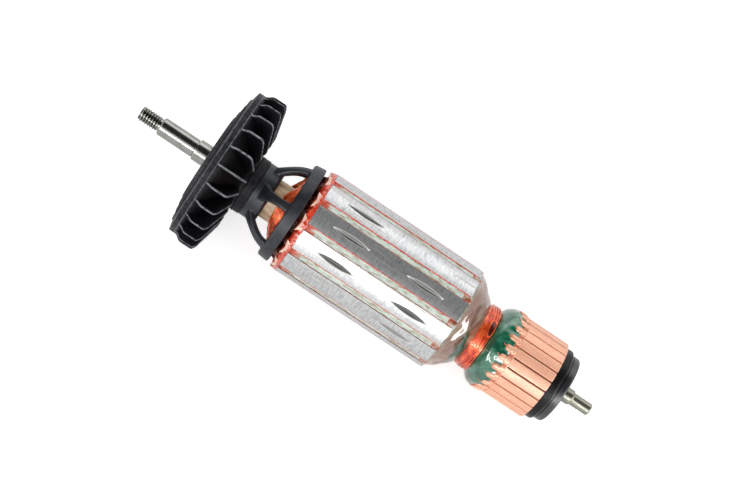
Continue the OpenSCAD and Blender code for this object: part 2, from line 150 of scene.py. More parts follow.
def startMaterial(name, inputs):
    material = bpy.data.materials.new(name)
    material.use_nodes = True
    shader = material.node_tree.nodes["Principled BSDF"]
    feed(shader, inputs)
    return material, material.node_tree, shader


def shaftMapping(tree, scale=(1, 1, 1)):
    # millimetres about the shaft, times a scale for each direction: 0.4 makes the cells of a
    # noise about 2.5 mm
    turn = Matrix((down, side, along)).transposed().to_euler()
    place = addNode(tree, "Mapping", {"vector_type": "TEXTURE"}, {
        "Vector": addNode(tree, "TexCoord", {}, {}).outputs["Object"],
        "Location": tuple(axisStart), "Rotation": tuple(turn), "Scale": (0.001, 0.001, 0.001)})
    return addNode(tree, "VectorMath", "MULTIPLY", {0: place, 1: scale})


def shaftStation(tree):  # millimetres along the shaft
    return addNode(tree, "SeparateXYZ", {}, {0: shaftMapping(tree)}).outputs["Z"]


def shaftRadius(tree):  # millimetres from the shaft's axis
    flat = addNode(tree, "VectorMath", "MULTIPLY", {0: shaftMapping(tree), 1: (1, 1, 0)})
    return addNode(tree, "VectorMath", "LENGTH", {0: flat}).outputs["Value"]


def cloudyTint(tree, scale, look, ramp):  # a noise, and the colours that it stands for
    clouds = addNode(tree, "TexNoise", {}, {"Vector": shaftMapping(tree, scale), "Scale": 1.0, **look})
    return clouds, addNode(tree, "ValToRGB", {"ramp": ramp}, {"Fac": clouds})


def refinish(name, material):  # gives one of the frame's own nodes a new finish
    nodes[name].data.materials.clear()
    nodes[name].data.materials.append(material)


# meshes
def fullTurn(steps):  # angles all the way round
    return np.linspace(0, 2 * math.pi, steps, endpoint=False)


def rampUp(x, length):  # 0 up to x = 0, then rising to 1 over the length
    return np.clip(x / length, 0, 1)


def gridFaces(rows, columns, wrapRows, wrapColumns):
    # quads between neighbouring rows and columns, closed round where wrapped
    i = np.arange(rows if wrapRows else rows - 1)[:, None]
    j = np.arange(columns if wrapColumns else columns - 1)[None, :]
    nextI, nextJ = (i + 1) % rows, (j + 1) % columns
    return np.stack([i * columns + j, nextI * columns + j, nextI * columns + nextJ,
                     i * columns + nextJ], -1).reshape(-1, 4)


def shells(points, wrapRows=False):
    # points[m, rows, columns, xyz] are m tubes closed round their columns; unless the rows
    # close too, each end gets a fan of triangles round its middle point
    m, rows, columns = points.shape[:3]
    verts = points.reshape(-1, 3)
    starts = np.arange(m)[:, None, None] * rows * columns
    quads = (starts + gridFaces(rows, columns, wrapRows, True)[None]).reshape(-1, 4)
    if wrapRows:
        return verts, [quads]
    middles = points[:, [0, -1]].mean(2).reshape(-1, 3)
    j = np.arange(columns)[None, :]
    nextJ = (j + 1) % columns
    first = np.arange(m)[:, None] * rows * columns
    last = first + (rows - 1) * columns
    middle = len(verts) + np.arange(m)[:, None] * 2
    fans = [np.stack(np.broadcast_arrays(middle, first + j, first + nextJ), -1).reshape(-1, 3),
            np.stack(np.broadcast_arrays(middle + 1, last + nextJ, last + j), -1).reshape(-1, 3)]
    return np.concatenate([verts, middles]), [quads] + fans


def outward(part):  # reverses the faces if the solid's signed volume is negative
    verts, faces = part
    volume = 0.0
    for f in faces:
        for k in range(1, f.shape[1] - 1):
            a, b, c = verts[f[:, 0]], verts[f[:, k]], verts[f[:, k + 1]]
            volume += (a * np.cross(b, c)).sum()
    return (verts, [f[:, ::-1] for f in faces]) if volume < 0 else part


def addPiece(name, parts, material, replaced=(), sharpAngle=50):
    # parts are closed solids in millimetres about the shaft, made one mesh that rides on the frame
    parts = [outward(p) for p in parts]
    starts = np.cumsum([0] + [len(p[0]) for p in parts])
    verts = toWorld(np.concatenate([p[0] for p in parts]))
    faces = [f + start for (_, group), start in zip(parts, starts) for f in group]
    sizes = np.concatenate([np.full(len(f), f.shape[1]) for f in faces])
    corners = np.concatenate([f.ravel() for f in faces])
    mesh = bpy.data.meshes.new(name)
    mesh.vertices.add(len(verts))
    mesh.vertices.foreach_set("co", verts.astype(np.float32).ravel())
    mesh.loops.add(len(corners))
    mesh.loops.foreach_set("vertex_index", corners.astype(np.int32))
    mesh.polygons.add(len(sizes))
    mesh.polygons.foreach_set("loop_start", (np.cumsum(sizes) - sizes).astype(np.int32))
    mesh.update(calc_edges=True)
    mesh.shade_smooth()
    mesh.set_sharp_from_angle(angle=math.radians(sharpAngle))
    mesh.materials.append(material)
    piece = bpy.data.objects.new(name, mesh)
    bpy.context.scene.collection.objects.link(piece)
    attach(piece, "root")
    if replaced:
        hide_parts(*replaced)
    return piece


def rounded(points, radius, steps=4, closed=False):
    # an outline with each corner turned into a short curve (a quadratic through the corner's
    # two tangent points) and a point held just outside it, so that flat runs shade flat
    mostReach, heldAt = 0.42, 1.15  # share of the shorter side; place of the held point
    p = np.array(points, float)
    before, after = np.roll(p, 1, 0), np.roll(p, -1, 0)
    reach = np.broadcast_to(np.asarray(radius, float), len(p))[:, None]
    back, ahead = before - p, after - p
    backLen = np.linalg.norm(back, axis=1, keepdims=True)
    aheadLen = np.linalg.norm(ahead, axis=1, keepdims=True)
    reach = np.minimum(reach, mostReach * np.minimum(backLen, aheadLen))
    back, ahead = back / backLen * reach, ahead / aheadLen * reach
    t = np.linspace(0, 1, steps + 1)[None, :, None]
    curve = ((p + back)[:, None] * (1 - t) ** 2 + p[:, None] * 2 * t * (1 - t)
             + (p + ahead)[:, None] * t ** 2)
    held = np.concatenate([(p + back * heldAt)[:, None], curve, (p + ahead * heldAt)[:, None]], 1)
    if closed:
        return held.reshape(-1, p.shape[1])
    return np.concatenate([p[:1], held[1:-1].reshape(-1, p.shape[1]), p[-1:]])


def turned(outline, segments=144, closed=False):
    # carries an outline of (z, r) points round the shaft
    angle = fullTurn(segments)[None, :]
    z, r = np.array(outline)[:, :1], np.array(outline)[:, 1:]
    points = np.stack([r * np.cos(angle), r * np.sin(angle), z + 0 * angle], -1)
    return shells(points[None], wrapRows=closed)


def tubes(paths, radius, sides=8, closed=True):
    # round wires along paths[m, stations, xyz]: each ring stands square to its path, turned
    # from the direction away from the shaft, so that it never twists
    step = np.roll(paths, -1, 1) - np.roll(paths, 1, 1)
    if not closed:
        step[:, 0], step[:, -1] = paths[:, 1] - paths[:, 0], paths[:, -1] - paths[:, -2]
    tangent = step / np.linalg.norm(step, axis=-1, keepdims=True)
    away = paths * [1, 1, 0]
    away = away - tangent * (away * tangent).sum(-1, keepdims=True)
    away /= np.linalg.norm(away, axis=-1, keepdims=True)
    across = np.cross(tangent, away)
    turn = fullTurn(sides)
    size = np.broadcast_to(np.asarray(radius, float), paths.shape[:2])[..., None, None]
    rings = paths[:, :, None] + size * (away[:, :, None] * np.cos(turn)[:, None]
                                        + across[:, :, None] * np.sin(turn)[:, None])
    return shells(rings, wrapRows=closed)


def cylindrical(r, angle, z):  # points from radius, angle and station
    r, angle, z = np.broadcast_arrays(r, angle, z)
    return np.stack([r * np.cos(angle), r * np.sin(angle), z], -1)


def ripple(angle, z, seed, waves, mostTurns, longest):
    # random waves round the shaft and along it; whole numbers of turns close on themselves, and
    # along the shaft a wave is about longest to a third of it
    draw = np.random.default_rng(seed)
    total = 0.0
    for _ in range(waves):
        turns = draw.integers(1, mostTurns + 1) * draw.choice([-1, 1])
        total = total + np.sin(turns * angle + z * draw.uniform(0.3, 1) * 2 * math.pi * 3 / longest
                               + draw.uniform(0, 2 * math.pi))
    return total / math.sqrt(waves)


def lobe(centre, reach, angle, rows=12, columns=18, square=0.75):
    # squarish egg: superellipsoid with half-lengths reach = (along, across, away from the shaft)
    v = np.linspace(-math.pi / 2, math.pi / 2, rows + 2)[1:-1, None]
    u = fullTurn(columns)[None, :]

    def power(x):
        return np.sign(x) * np.abs(x) ** square
    z = centre[0] + reach[0] * power(np.sin(v)) + 0 * u
    across = reach[1] * power(np.cos(v)) * power(np.cos(u))
    r = centre[1] + reach[2] * power(np.cos(v)) * power(np.sin(u))
    return cylindrical(r, angle + (across + centre[2]) / centre[1], z)[None]


# camera
cameraSetup = {
    "station": -19.1,    # mm along the shaft, where the lens stands
    "distance": 602.0,   # mm from the shaft's axis
    "elevation": 67.8,   # degrees above the horizon
    "aimStation": 22.255,
    "aimRise": 4.567,
    "roll": 33.637,      # how far the shaft runs down to the right
    "lens": 94.098,
}


def makeCamera(setup):
    e = math.radians(setup["elevation"])
    toCamera = -math.cos(e) * side - math.sin(e) * down
    rise = math.sin(e) * side - math.cos(e) * down
    place = axisStart + (along * setup["station"] + toCamera * setup["distance"]) * 0.001
    aim = axisStart + (along * setup["aimStation"] + rise * setup["aimRise"]) * 0.001
    back = Vector(place - aim).normalized()
    level = (Vector(along) - back * Vector(along).dot(back)).normalized()
    upright = back.cross(level)
    roll = math.radians(setup["roll"])
    right = level * math.cos(roll) + upright * math.sin(roll)
    up = upright * math.cos(roll) - level * math.sin(roll)
    data = bpy.data.cameras.new("camera")
    data.lens, data.sensor_width = setup["lens"], 36
    data.clip_start, data.clip_end = 0.01, 20
    camera = bpy.data.objects.new("camera", data)
    camera.matrix_world = Matrix((
        (right.x, up.x, back.x, place[0]), (right.y, up.y, back.y, place[1]),
        (right.z, up.z, back.z, place[2]), (0, 0, 0, 1)))
    bpy.context.scene.collection.objects.link(camera)
    bpy.context.scene.camera = camera


makeCamera(cameraSetup)
print("camera placed")


# floor, world and lamps
studio = {
    "floorSize": 6.0,
    "floor": "#F4F4F4",
    "floorGlow": 0.5,          # what the floor adds to its own shade, so that it shows white
    "glowReflected": 0.15,     # the same where it is seen in a reflection
    "worldForShade": 0.62,     # strength of the world on matt surfaces
    "lamps": {                 # azimuth, elevation, then distance, width and height in m, brightness
        "frontBox": (0, 38, 0.9, 1.5, 0.60, 1.15),
        "backBox": (180, 32, 1.0, 1.6, 0.45, 1.1),
        "topBox": (20, 80, 1.2, 0.8, 0.8, 0.6),
    },
    "cards": {                 # the same for panels seen only in reflections
        "frontPanel": (0, 38, 0.95, 1.9, 0.60, 1.7),
        "frontStrip": (0, 36, 0.9, 1.5, 0.06, 22.0),
        "backPanel": (180, 32, 1.0, 1.9, 0.45, 2.0),
        "rightPanel": (66, 15, 0.9, 0.75, 0.22, 12.0),
        "leftPanel": (-66, 15, 0.9, 0.75, 0.22, 12.0),
    },
    "ceiling": {"height": 0.9, "front": -0.44, "back": 0.66, "length": 3.0, "shade": "#262626"},
}


def onlyFor(obj, **rays):  # which rays see a lamp or card; the rest are off
    for ray in ("camera", "diffuse", "glossy", "transmission", "shadow", "volume_scatter"):
        setattr(obj, "visible_" + ray, rays.get(ray, False))


def whiteWhereSeen(tree):  # 1 for camera, glossy and transmission rays
    path = addNode(tree, "LightPath", {}, {})
    either = addNode(tree, "Math", "MAXIMUM",
                     {0: path.outputs["Is Camera Ray"], 1: path.outputs["Is Glossy Ray"]})
    return addNode(tree, "Math", "MAXIMUM",
                   {0: either, 1: path.outputs["Is Transmission Ray"]}).outputs[0]


def directions(azimuth, elevation):  # towards a lamp, sideways along it and up it
    a, e = math.radians(azimuth), math.radians(elevation)
    return (Vector((math.sin(a) * math.cos(e), -math.cos(a) * math.cos(e), math.sin(e))),
            Vector((math.cos(a), math.sin(a), 0)),
            Vector((-math.sin(a) * math.sin(e), math.cos(a) * math.sin(e), math.cos(e))))


def addCard(name, corners, colour, brightness):
    material = startMaterial(name + "Glow", {
        "Base Color": (0, 0, 0, 1), "Roughness": 1.0, "Emission Color": colour,
        "Emission Strength": brightness})[0]
    mesh = bpy.data.meshes.new(name)
    mesh.from_pydata([tuple(c) for c in corners], [], [(0, 1, 2, 3)])
    mesh.materials.append(material)
    card = bpy.data.objects.new(name, mesh)
    bpy.context.scene.collection.objects.link(card)
    onlyFor(card, glossy=True)


def makeStudio(setup):
    scene = bpy.context.scene
    scene.view_settings.view_transform = "Standard"
    world = bpy.data.worlds.new("studio")
    scene.world = world
    world.use_nodes = True
    tree = world.node_tree
    strength = addNode(tree, "MapRange", {}, {
        "Value": whiteWhereSeen(tree), "To Min": setup["worldForShade"], "To Max": 1.0})
    background = tree.nodes["Background"]
    background.inputs["Color"].default_value = (1, 1, 1, 1)
    feed(background, {"Strength": strength})

    # matt white table top; the glow lifts it to white and leaves the shadow
    material, tree, shader = startMaterial("tableTop", {
        "Base Color": linear(setup["floor"]), "Roughness": 0.9, "Emission Color": (1, 1, 1, 1)})
    direct = addNode(tree, "Math", "MULTIPLY", {
        0: addNode(tree, "LightPath", {}, {}).outputs["Is Camera Ray"],
        1: setup["floorGlow"] - setup["glowReflected"]})
    glow = addNode(tree, "Math", "MULTIPLY_ADD",
                   {0: whiteWhereSeen(tree), 1: setup["glowReflected"], 2: direct})
    feed(shader, {"Emission Strength": glow})
    half = setup["floorSize"] / 2
    mesh = bpy.data.meshes.new("floor")
    mesh.from_pydata([(-half, -half, 0), (half, -half, 0), (half, half, 0), (-half, half, 0)], [],
                     [(0, 1, 2, 3)])
    mesh.materials.append(material)
    floor = bpy.data.objects.new("floor", mesh)
    scene.collection.objects.link(floor)

    # dark ceiling and bright panels seen only in reflections
    card = setup["ceiling"]
    ends = card["length"] / 2
    addCard("ceiling", [(x, y, card["height"]) for x, y in (
        (-ends, card["front"]), (ends, card["front"]), (ends, card["back"]), (-ends, card["back"]))],
        linear(card["shade"]), 1.0)
    for name, (azimuth, elevation, distance, width, height, brightness) in setup["cards"].items():
        towards, acrossIt, upIt = directions(azimuth, elevation)
        addCard(name, [towards * distance + acrossIt * (i * width / 2) + upIt * (j * height / 2)
                       for i, j in ((-1, -1), (1, -1), (1, 1), (-1, 1))], (1, 1, 1, 1), brightness)

    for name, (azimuth, elevation, distance, width, height, brightness) in setup["lamps"].items():
        towards = directions(azimuth, elevation)[0]
        lamp = bpy.data.lights.new(name, "AREA")
        lamp.shape = "RECTANGLE"
        lamp.size, lamp.size_y = width, height
        lamp.energy = brightness * math.pi * width * height  # so that its face has this radiance
        light = bpy.data.objects.new(name, lamp)
        light.location = towards * distance
        light.rotation_mode = "QUATERNION"
        light.rotation_quaternion = towards.to_track_quat("Z", "Y")
        scene.collection.objects.link(light)
        light.visible_camera = False
        light.visible_glossy = False


makeStudio(studio)
print("studio lit")


# ground steel shaft: fine marks run round it, so highlights spread along the shaft
shaftSettings = {
    "pitch": 0.9, "threadDepth": 0.42, "crest": 0.2, "chamfer": 0.45, "reliefR": 2.1, "neckR": 2.8,
    "runOut": 0.25, "lean": 0.02, "mainLean": 0.05, "rearStep": (1.4, 1.5), "coneLen": 0.7,
    "edge": 0.07, "segments": 96, "rowsPerTurn": 16,
    "colour": "#A3A49F", "stain": "#8F908B", "markShade": 0.92, "markSpacing": 0.12,
    "groove": "#44433A", "dirtR": (2.02, 2.36),
    "roughness": 0.2, "rearRoughness": 0.34, "rearTint": "#F0EEE2",
}


def makeShaftSteel(s):
    material, tree, shader = startMaterial("groundSteel", {"Metallic": 1.0})
    # grinding marks: noise drawn out round the shaft, as wide as markSpacing along it, which is
    # coarser than real ones so that they show
    marks = addNode(tree, "TexNoise", {}, {
        "Vector": shaftMapping(tree, (0.25, 0.25, 1 / s["markSpacing"])), "Scale": 1.0, "Detail": 3.0})
    _, tint = cloudyTint(tree, (0.35,) * 3, {"Detail": 4.0}, [(0.3, s["stain"]), (0.7, s["colour"])])
    fine = addNode(tree, "MapRange", {}, {"Value": marks, "To Min": s["markShade"], "To Max": 1.0})
    tint = addNode(tree, "VectorMath", "SCALE", {0: tint, "Scale": fine})
    # darker in the thread's grooves, towards their root
    z = shaftStation(tree)
    deep = addNode(tree, "MapRange", {}, {
        "Value": shaftRadius(tree), "From Min": s["dirtR"][0], "From Max": s["dirtR"][1],
        "To Min": 1.0, "To Max": 0.0})
    onThread = addNode(tree, "Math", "LESS_THAN", {0: z, 1: mountEnds("thread_end")[1]})
    darkGroove = addNode(tree, "Math", "MULTIPLY", {0: deep, 1: onThread})
    mixed = addNode(tree, "Mix", colours, {"Factor": darkGroove, mixA: tint, mixB: linear(s["groove"])})
    # the rear journal has run in its bearing: duller, a little yellow
    atRear = addNode(tree, "Math", "GREATER_THAN", {0: z, 1: coreZ[1]})
    yellowed = addNode(tree, "Mix", dict(colours, blend_type="MULTIPLY"), {
        "Factor": atRear, mixA: mixed, mixB: linear(s["rearTint"])})
    gloss = addNode(tree, "MapRange", {}, {
        "Value": atRear, "To Min": s["roughness"], "To Max": s["rearRoughness"]})
    bump = addNode(tree, "Bump", {}, {"Strength": 0.2, "Distance": 0.000001, "Height": marks})
    feed(shader, {"Base Color": yellowed, "Roughness": gloss, "Normal": bump})
    return material


def makeShaft(s):
    threadZ, seatZ = mountEnds("thread_end"), mountEnds("pinion_seat")
    shoulderZ, journalZ = mountEnds("front_shoulder"), mountEnds("rear_journal")
    mounted = ("thread_end", "pinion_seat", "front_shoulder", "rear_journal")
    threadR, seatR, shoulderR, journalR = (mounts[name]["dims"]["r_mm"] for name in mounted)
    tip, end = stations("shaft")
    mainR = radii("shaft_sleeve")[0]
    rearR = threadR  # the shoulder behind the commutator is as wide as the thread
    ringZ = stations("end_ring")
    # its steps lean a little, so that their rows stay in order along the shaft
    c, lean = s["chamfer"], s["lean"]
    threadEnd = threadZ[1] - s["runOut"]
    outline = rounded([
        (tip, 0), (tip, threadR - c), (tip + c, threadR), (threadEnd, threadR),
        (threadZ[1], s["reliefR"]), (seatZ[0] - c, s["reliefR"]), (seatZ[0] - c + lean, seatR - c),
        (seatZ[0], seatR), (seatZ[1], seatR), (seatZ[1] + lean, s["neckR"]),
        (shoulderZ[0] - lean, s["neckR"]), (shoulderZ[0], shoulderR), (shoulderZ[1], shoulderR),
        (shoulderZ[1] + s["mainLean"], mainR), (ringZ[0] + s["rearStep"][0], mainR),
        (ringZ[0] + s["rearStep"][1], rearR), (journalZ[0] - s["coneLen"], rearR),
        (journalZ[0], journalR), (end - c, journalR), (end, journalR - c), (end, 0)], s["edge"])
    # thread: many more rows there, and a V groove that climbs one pitch each turn
    finer = np.arange(tip, threadZ[1], s["pitch"] / s["rowsPerTurn"])
    rows = np.unique(np.concatenate([outline[:, 0], finer]))
    keep = (rows > tip + c) & (rows < threadEnd)
    threadRows = np.stack([rows[keep], np.full(keep.sum(), threadR)], -1)
    headRows = outline[outline[:, 0] <= tip + c + 1e-6]
    tailRows = outline[outline[:, 0] >= threadEnd]
    profile = np.concatenate([headRows, threadRows, tailRows])[1:-1]
    angle = fullTurn(s["segments"])
    z, r = profile[:, :1], profile[:, 1:]
    wave = np.abs(2 * np.mod(z / s["pitch"] - angle / (2 * math.pi), 1) - 1)
    cut = s["threadDepth"] * np.clip((1 - wave) * (1 + 2 * s["crest"]) - s["crest"], 0, 1)
    groove = np.where(z < threadZ[1], threadR - cut, r)
    points = cylindrical(np.minimum(r, groove), angle, z)
    addPiece("shaft_turned", [shells(points[None])], makeShaftSteel(s), ["shaft"], 60)


makeShaft(shaftSettings)
print("shaft turned")


# glass-filled nylon, moulded: satin black with a fine grain and paler patches; the fan's edges are
# painted paler as a painted highlight
guardNylon = {
    "colour": "#1A1D23", "worn": "#323740", "roughness": 0.4, "glossSpread": (-0.1, 0.14),
    "grain": 0.22, "bump": 0.00003, "level": 0.36,
}
# the fan's edge colour, at the levels and amounts below, is a painted highlight on its edges
fanNylon = dict(guardNylon, colour="#08090C", worn="#121317", roughness=0.44, level=0.08,
                edge="#9A9CA2", rubLevels=(0.36, 0.62), rubAmounts=(0.25, 1.1))


def makeNylon(name, s):
    material, tree, shader = startMaterial(name, {"IOR": 1.53, "Specular IOR Level": s["level"]})
    grain = addNode(tree, "TexNoise", {}, {
        "Vector": shaftMapping(tree, (1 / s["grain"],) * 3), "Scale": 1.0, "Detail": 2.0})
    clouds, colour = cloudyTint(tree, (0.3,) * 3, {"Detail": 5.0, "Roughness": 0.6},
                                [(0.42, s["colour"]), (0.8, s["worn"])])
    if "edge" in s:  # painted highlight: paler where the mesh marks an edge that catches the light
        worn = addNode(tree, "Attribute", {"attribute_name": "worn"}, {})
        rubs = addNode(tree, "TexNoise", {}, {
            "Vector": shaftMapping(tree, (0.9,) * 3), "Scale": 1.0, "Detail": 3.0, "Roughness": 0.7})
        patchy = addNode(tree, "MapRange", {}, {
            "Value": rubs, "From Min": s["rubLevels"][0], "From Max": s["rubLevels"][1],
            "To Min": s["rubAmounts"][0], "To Max": s["rubAmounts"][1]})
        share = addNode(tree, "Math", "MULTIPLY", {0: worn.outputs["Fac"], 1: patchy})
        colour = addNode(tree, "Mix", colours, {"Factor": share, mixA: colour, mixB: linear(s["edge"])})
    gloss = addNode(tree, "MapRange", {}, {
        "Value": clouds, "To Min": s["roughness"] + s["glossSpread"][0],
        "To Max": s["roughness"] + s["glossSpread"][1]})
    bump = addNode(tree, "Bump", {}, {"Strength": 0.6, "Distance": s["bump"], "Height": grain})
    feed(shader, {"Base Color": colour, "Roughness": gloss, "Normal": bump})
    return material


nylon = makeNylon("satinNylon", guardNylon)
mattNylon = makeNylon("mattNylon", fanNylon)


# radial fan: stepped back plate, S-shaped flare down to the hub, thin straight blades
fanSettings = {
    "rimInset": 1.4, "rimSetBack": 2.3, "rimW": 1.8, "rimStep": 0.7, "hubR": 9.4, "neckLen": 2.8,
    "faceR": 14.6, "faceSteps": 4, "stepDraft": 0.2, "stepsInside": 0.2, "boreR": 4.0,
    "neckBead": 0.16, "beadEnds": (0.12, 0.55, 0.7), "neckEdge": 0.14, "edge": 0.22,
    "blades": 24, "bladeT": 0.8, "bladeFlat": 4.6, "bladeSlope": 3.1, "bladeRootR": 15.5,
    "bladeStart": [(-0.6, -1.2), (-0.05, -0.05), (0.9, 0.1)],  # along and up from the rim's corner
    "bladeHeel": (0.9, -1.4), "bladeSunk": (1.7, 0.5),         # the same from the tip and the hub
    "bladeEdge": 0.33, "bladeRadii": [0.3, 0.2, 0.9, 1.2, 0.5, 0.9, 1.0, 0.3],
    "rimWear": 0.09, "rimDepth": 0.15, "neckWear": 0.06, "cornerWear": 0.55,
    "stepReach": 0.1, "rimReach": 0.16,
}


def rimWear(s, verts, corners, rimR, neckZ):  # painted highlight: a little on rim and neck, more on the corners
    z, r = verts[:, 2], np.hypot(verts[:, 0], verts[:, 1])
    share = s["rimWear"] * (r > rimR - s["rimDepth"]) + s["neckWear"] * (z > neckZ)
    for cornerZ, cornerR, reach in corners:
        share = np.maximum(share, s["cornerWear"] * (np.hypot(z - cornerZ, r - cornerR) < reach))
    return share


def makeFan(s):
    face, hubEnd = stations("fan")
    tipR = radii("fan")[1]
    rimR = tipR - s["rimInset"]
    rim0 = face + s["rimSetBack"]
    rim1 = rim0 + s["rimW"]
    bladeEnd = hubEnd - s["neckLen"]
    stepZ = (s["rimSetBack"] - s["rimStep"]) / s["faceSteps"]
    stepR = (rimR - s["faceR"]) / (s["faceSteps"] + s["stepsInside"])
    steps = [(face + (i + k) * stepZ, s["faceR"] + i * stepR - (1 - k) * s["stepDraft"])
             for i in range(s["faceSteps"]) for k in (0, 0.5, 1)]
    u = np.linspace(0, 1, 25)
    flare = np.stack([rim1 + (bladeEnd - rim1) * u,
                      s["hubR"] + (rimR - s["hubR"]) * (1 + np.cos(math.pi * u)) / 2], -1)
    front = rounded([(hubEnd, s["boreR"]), (face, s["boreR"])] + steps
                    + [(rim0, rimR), (rim1, rimR), tuple(flare[2])], s["edge"], 3)
    bead0, bead1, bead2 = (bladeEnd + z for z in s["beadEnds"])
    neck = rounded([tuple(flare[-2]), (bladeEnd, s["hubR"]), (bead0, s["hubR"] + s["neckBead"]),
                    (bead1, s["hubR"] + s["neckBead"]), (bead2, s["hubR"]), (hubEnd, s["hubR"]),
                    (hubEnd, s["boreR"])], s["neckEdge"], 3)
    body = turned(np.concatenate([front, flare[3:-2], neck[1:-1]]), 192, closed=True)
    # blade: an outline in the plane of the shaft, its edge rounded over the thickness
    flat1 = bladeEnd - s["bladeSlope"]
    flat0 = flat1 - s["bladeFlat"]
    outline = rounded(
        [(rim1 + z, rimR + r) for z, r in s["bladeStart"]]
        + [(flat0, tipR), (flat1, tipR), (flat1 + s["bladeHeel"][0], tipR + s["bladeHeel"][1]),
           (bladeEnd, s["bladeRootR"]), (bladeEnd - s["bladeSunk"][0], s["hubR"] - s["bladeSunk"][1])],
        s["bladeRadii"], 5, closed=True)
    ahead = np.roll(outline, -1, 0) - np.roll(outline, 1, 0)
    inside = np.stack([ahead[:, 1], -ahead[:, 0]], -1)
    inside /= np.linalg.norm(inside, axis=1, keepdims=True)
    t = np.linspace(-math.pi / 2, math.pi / 2, 7)
    inset = s["bladeEdge"] * (1 - np.cos(t))
    offset = s["bladeT"] / 2 * np.sin(t)
    ring = outline[None] + inside[None] * inset[:, None, None]
    turn = math.pi / s["blades"] + np.arange(s["blades"]) * 2 * math.pi / s["blades"]
    c, d = np.cos(turn)[:, None, None], np.sin(turn)[:, None, None]
    y = offset[None, :, None] + 0 * ring[None, ..., 1]
    r = ring[None, ..., 1]
    blades = np.stack([r * c - y * d, r * d + y * c, ring[None, ..., 0] + 0 * c], -1)
    # painted highlight along the blades' rounded edges, strongest on their crest
    worn = np.broadcast_to((np.cos(t) ** 2)[None, :, None], blades.shape[:3])
    middles = np.zeros(2 * s["blades"])  # the triangles' middle points on the blades' faces
    fan = addPiece("fan_moulding", [body, shells(blades)], mattNylon, ["fan"], 40)
    corners = [(z, r, s["stepReach"]) for z, r in steps[::3]]
    corners += [(z, rimR, s["rimReach"]) for z in (rim0, rim1)]
    share = np.concatenate([rimWear(s, body[0], corners, rimR, bladeEnd), worn.ravel(), middles])
    attribute = fan.data.attributes.new("worn", "FLOAT", "POINT")
    attribute.data.foreach_set("value", share.astype(np.float32))


makeFan(fanSettings)
print("fan moulded")


# guard: hub, ring and bowed legs, blended where they meet by remeshing
guardSettings = {
    "hubLen": 5.5, "hubR": 9.2, "boreR": 4.52, "hubEdge": 0.15, "hubPlain": 1.6,
    "ringW": 3.9, "ringT": 2.2, "ringEdge": 0.3, "bevel": 0.8,
    "legs": 6, "phase": 20.1, "legW": 2.8, "legT": 1.9, "squarish": 0.62, "sunk": 0.9,
    "hubFlare": 1.5, "hubFade": 5, "ringFlare": 0.7, "ringFade": 8,
    "voxel": 0.2, "smoothFactor": 0.5, "smoothing": 5,
}


def makeGuard(s):
    hub0, ring1 = stations("winding_guard")
    ringR = radii("winding_guard")[1]
    hub1 = hub0 + s["hubLen"]
    ring0 = ring1 - s["ringW"]
    bevel, edge = s["bevel"], s["ringEdge"]
    hub = rounded([(hub0, s["boreR"]), (hub0, s["hubR"]), (hub1 - bevel, s["hubR"]),
                   (hub1, s["hubR"] - bevel), (hub1, s["boreR"])], s["hubEdge"], 3, closed=True)
    ring = rounded([
        (ring0, ringR - s["ringT"]), (ring0, ringR - bevel), (ring0 + bevel / 2, ringR - bevel / 2),
        (ring1 - edge, ringR), (ring1, ringR - edge), (ring1, ringR - s["ringT"])], edge, 4, closed=True)
    # leg: middle line on a quarter sine from hub to ring, with a squarish rounded section
    t = np.linspace(0, 1, 40)[:, None]
    z0, z1 = hub0 + s["hubPlain"] + s["legT"] / 2, ring0 + s["sunk"]
    r0, r1 = s["hubR"] - s["sunk"], ringR - s["sunk"] - s["legT"] / 2
    z = z0 + (z1 - z0) * t
    r = r0 + (r1 - r0) * np.sin(t * math.pi / 2)
    slopeZ, slopeR = z1 - z0, (r1 - r0) * math.pi / 2 * np.cos(t * math.pi / 2)
    length = np.hypot(slopeZ, slopeR)
    turn = fullTurn(28)[None, :]
    thick = s["legT"] / 2 * np.sign(np.cos(turn)) * np.abs(np.cos(turn)) ** s["squarish"]
    width = (s["legW"] / 2 + s["hubFlare"] * (1 - t) ** s["hubFade"]
             + s["ringFlare"] * t ** s["ringFade"])
    wide = width * np.sign(np.sin(turn)) * np.abs(np.sin(turn)) ** s["squarish"]
    legZ = z - thick * slopeR / length
    legR = r + thick * slopeZ / length
    a = np.radians(s["phase"] + np.arange(s["legs"]) * 360 / s["legs"])[:, None, None]
    legs = np.stack([legR * np.cos(a) - wide * np.sin(a), legR * np.sin(a) + wide * np.cos(a),
                     legZ + 0 * a], -1)
    parts = [turned(hub, 144, closed=True), turned(ring, 192, closed=True), shells(legs)]
    piece = addPiece("guard_moulding", parts, nylon, ["winding_guard"])
    blend = piece.modifiers.new("blend", "REMESH")
    blend.mode, blend.voxel_size, blend.use_smooth_shade = "VOXEL", s["voxel"] * 0.001, True
    soften = piece.modifiers.new("soften", "SMOOTH")
    soften.factor, soften.iterations = s["smoothFactor"], s["smoothing"]


makeGuard(guardSettings)
print("guard moulded")


# insulating sleeve: beige plastic tube with brown varnish drawn along it
sleeveSettings = {"colour": "#E4CCAA", "shade": "#BE9E78", "varnish": "#7C5C3C", "roughness": 0.45}


def finishSleeve(s):
    material, tree, shader = startMaterial("beigeTube", {"Roughness": s["roughness"], "IOR": 1.5})
    _, tint = cloudyTint(tree, (0.4, 0.4, 0.16), {"Detail": 2.0},
                         [(0.3, s["varnish"]), (0.45, s["shade"]), (0.6, s["colour"])])
    feed(shader, {"Base Color": tint})
    refinish("shaft_sleeve", material)


finishSleeve(sleeveSettings)
